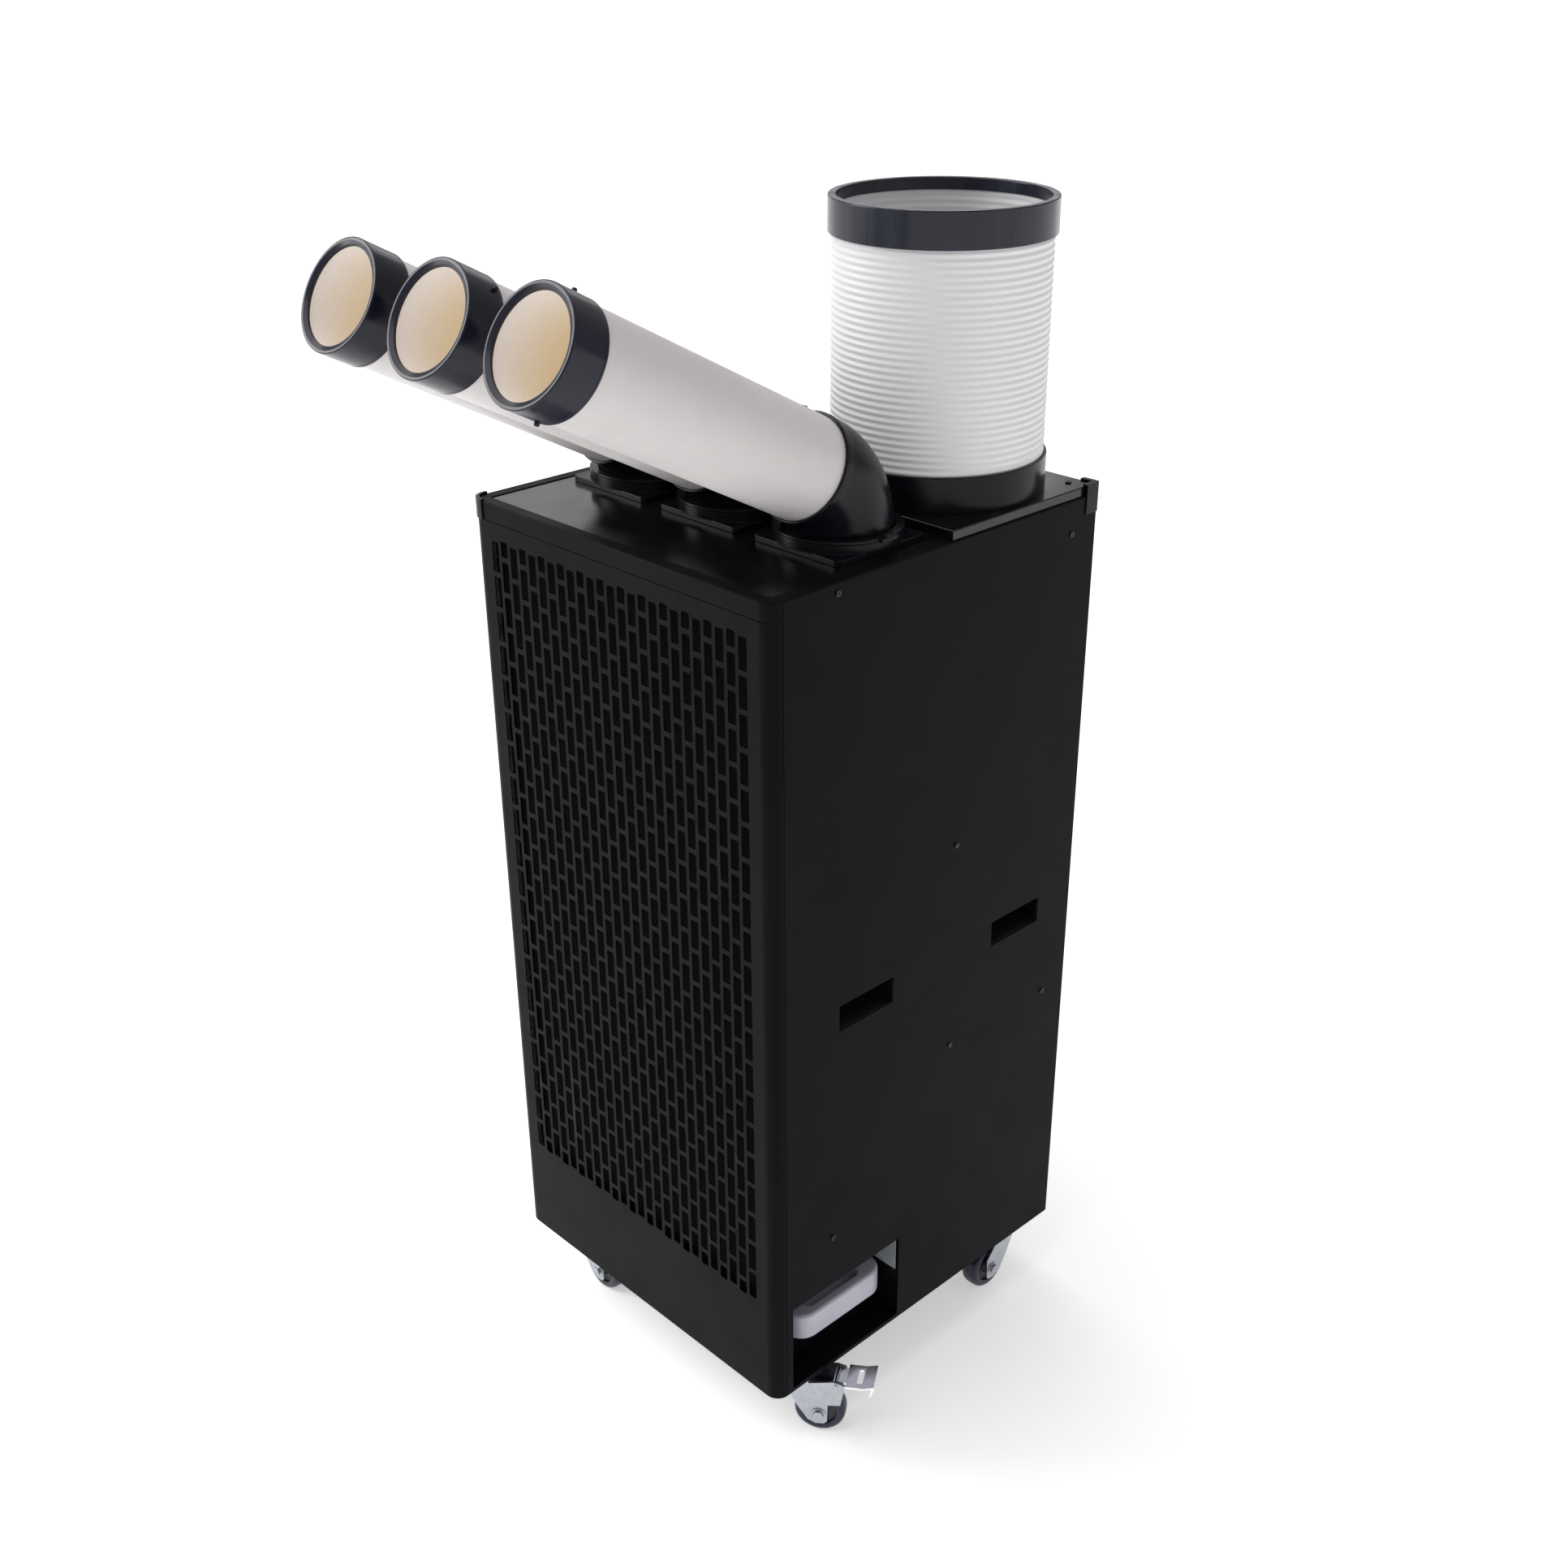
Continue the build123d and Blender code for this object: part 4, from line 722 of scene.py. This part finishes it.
def stage():
    """A plain pale floor, a white world that lights softly, and four lamps."""
    mesh = bpy.data.meshes.new("floor")
    reach = 40.0
    mesh.from_pydata([(-reach, -reach, 0), (reach, -reach, 0), (reach, reach, 0),
                      (-reach, reach, 0)], [], [(0, 1, 2, 3)])
    floor = bpy.data.objects.new("floor", mesh)
    bpy.context.scene.collection.objects.link(floor)
    material, nodes, links, shader = new_material("floor", (0.85, 0.85, 0.85), 0.9)
    shader.inputs["Specular IOR Level"].default_value = 0.1
    shader.inputs["Emission Color"].default_value = (1.0, 1.0, 1.0, 1.0)
    shader.inputs["Emission Strength"].default_value = 0.45
    mesh.materials.append(material)

    world = bpy.data.worlds.new("studio")
    bpy.context.scene.world = world
    world.use_nodes = True
    tree = world.node_tree
    background = tree.nodes["Background"]
    seen = tree.nodes.new("ShaderNodeLightPath").outputs["Is Camera Ray"]
    brightness = tree.nodes.new("ShaderNodeMapRange")
    lit_by, seen_as = 0.38, 1.0
    brightness.inputs["To Min"].default_value = lit_by
    brightness.inputs["To Max"].default_value = seen_as
    tree.links.new(seen, brightness.inputs["Value"])
    background.inputs["Color"].default_value = (1.0, 1.0, 1.0, 1.0)
    tree.links.new(brightness.outputs["Result"], background.inputs["Strength"])

    sun_light("overhead", (-0.45, -0.25, 1.0), 1.8, 70)
    area_light("key", (-2.6, -2.2, 2.3), (0, 0, 1.0), 1.6, 2.2, 66)
    area_light("strip", (2.6, 0.9, 2.2), (0.1, 0, 1.2), 0.4, 1.8, 4)
    area_light("back", (-2.9, 2.5, 2.9), (0, 0, 1.15), 2.4, 1.8, 9)


def sun_light(name, toward, strength, spread_deg):
    data = bpy.data.lights.new(name, "SUN")
    data.energy = strength
    data.angle = math.radians(spread_deg)
    lamp = bpy.data.objects.new(name, data)
    lamp.rotation_euler = Vector(toward).to_track_quat("Z", "Y").to_euler()
    bpy.context.scene.collection.objects.link(lamp)


def camera():
    """The photo's own view, from in front, to the right and above."""
    data = bpy.data.cameras.new("camera")
    data.sensor_width = 36.0
    data.lens = 42.15
    lens = bpy.data.objects.new("camera", data)
    yaw, pitch, roll = math.radians(-46.05), math.radians(-26.196), math.radians(-0.346)
    forward = Vector((math.sin(yaw) * math.cos(pitch), math.cos(yaw) * math.cos(pitch),
                      math.sin(pitch)))
    right = forward.cross(UP).normalized()
    up = right.cross(forward)
    tilted = up * math.cos(roll) - right * math.sin(roll)
    side = forward.cross(tilted)
    turn = Matrix((side, tilted, -forward)).transposed()
    lens.matrix_world = Matrix.Translation((1.4738, -1.4244, 1.776)) @ turn.to_4x4()
    bpy.context.scene.collection.objects.link(lens)
    bpy.context.scene.camera = lens


bpy.context.scene.view_settings.view_transform = "Standard"
camera()
cabinet()
outlets()
exhaust()
drain_tank()
casters()
plain_nodes()
stage()
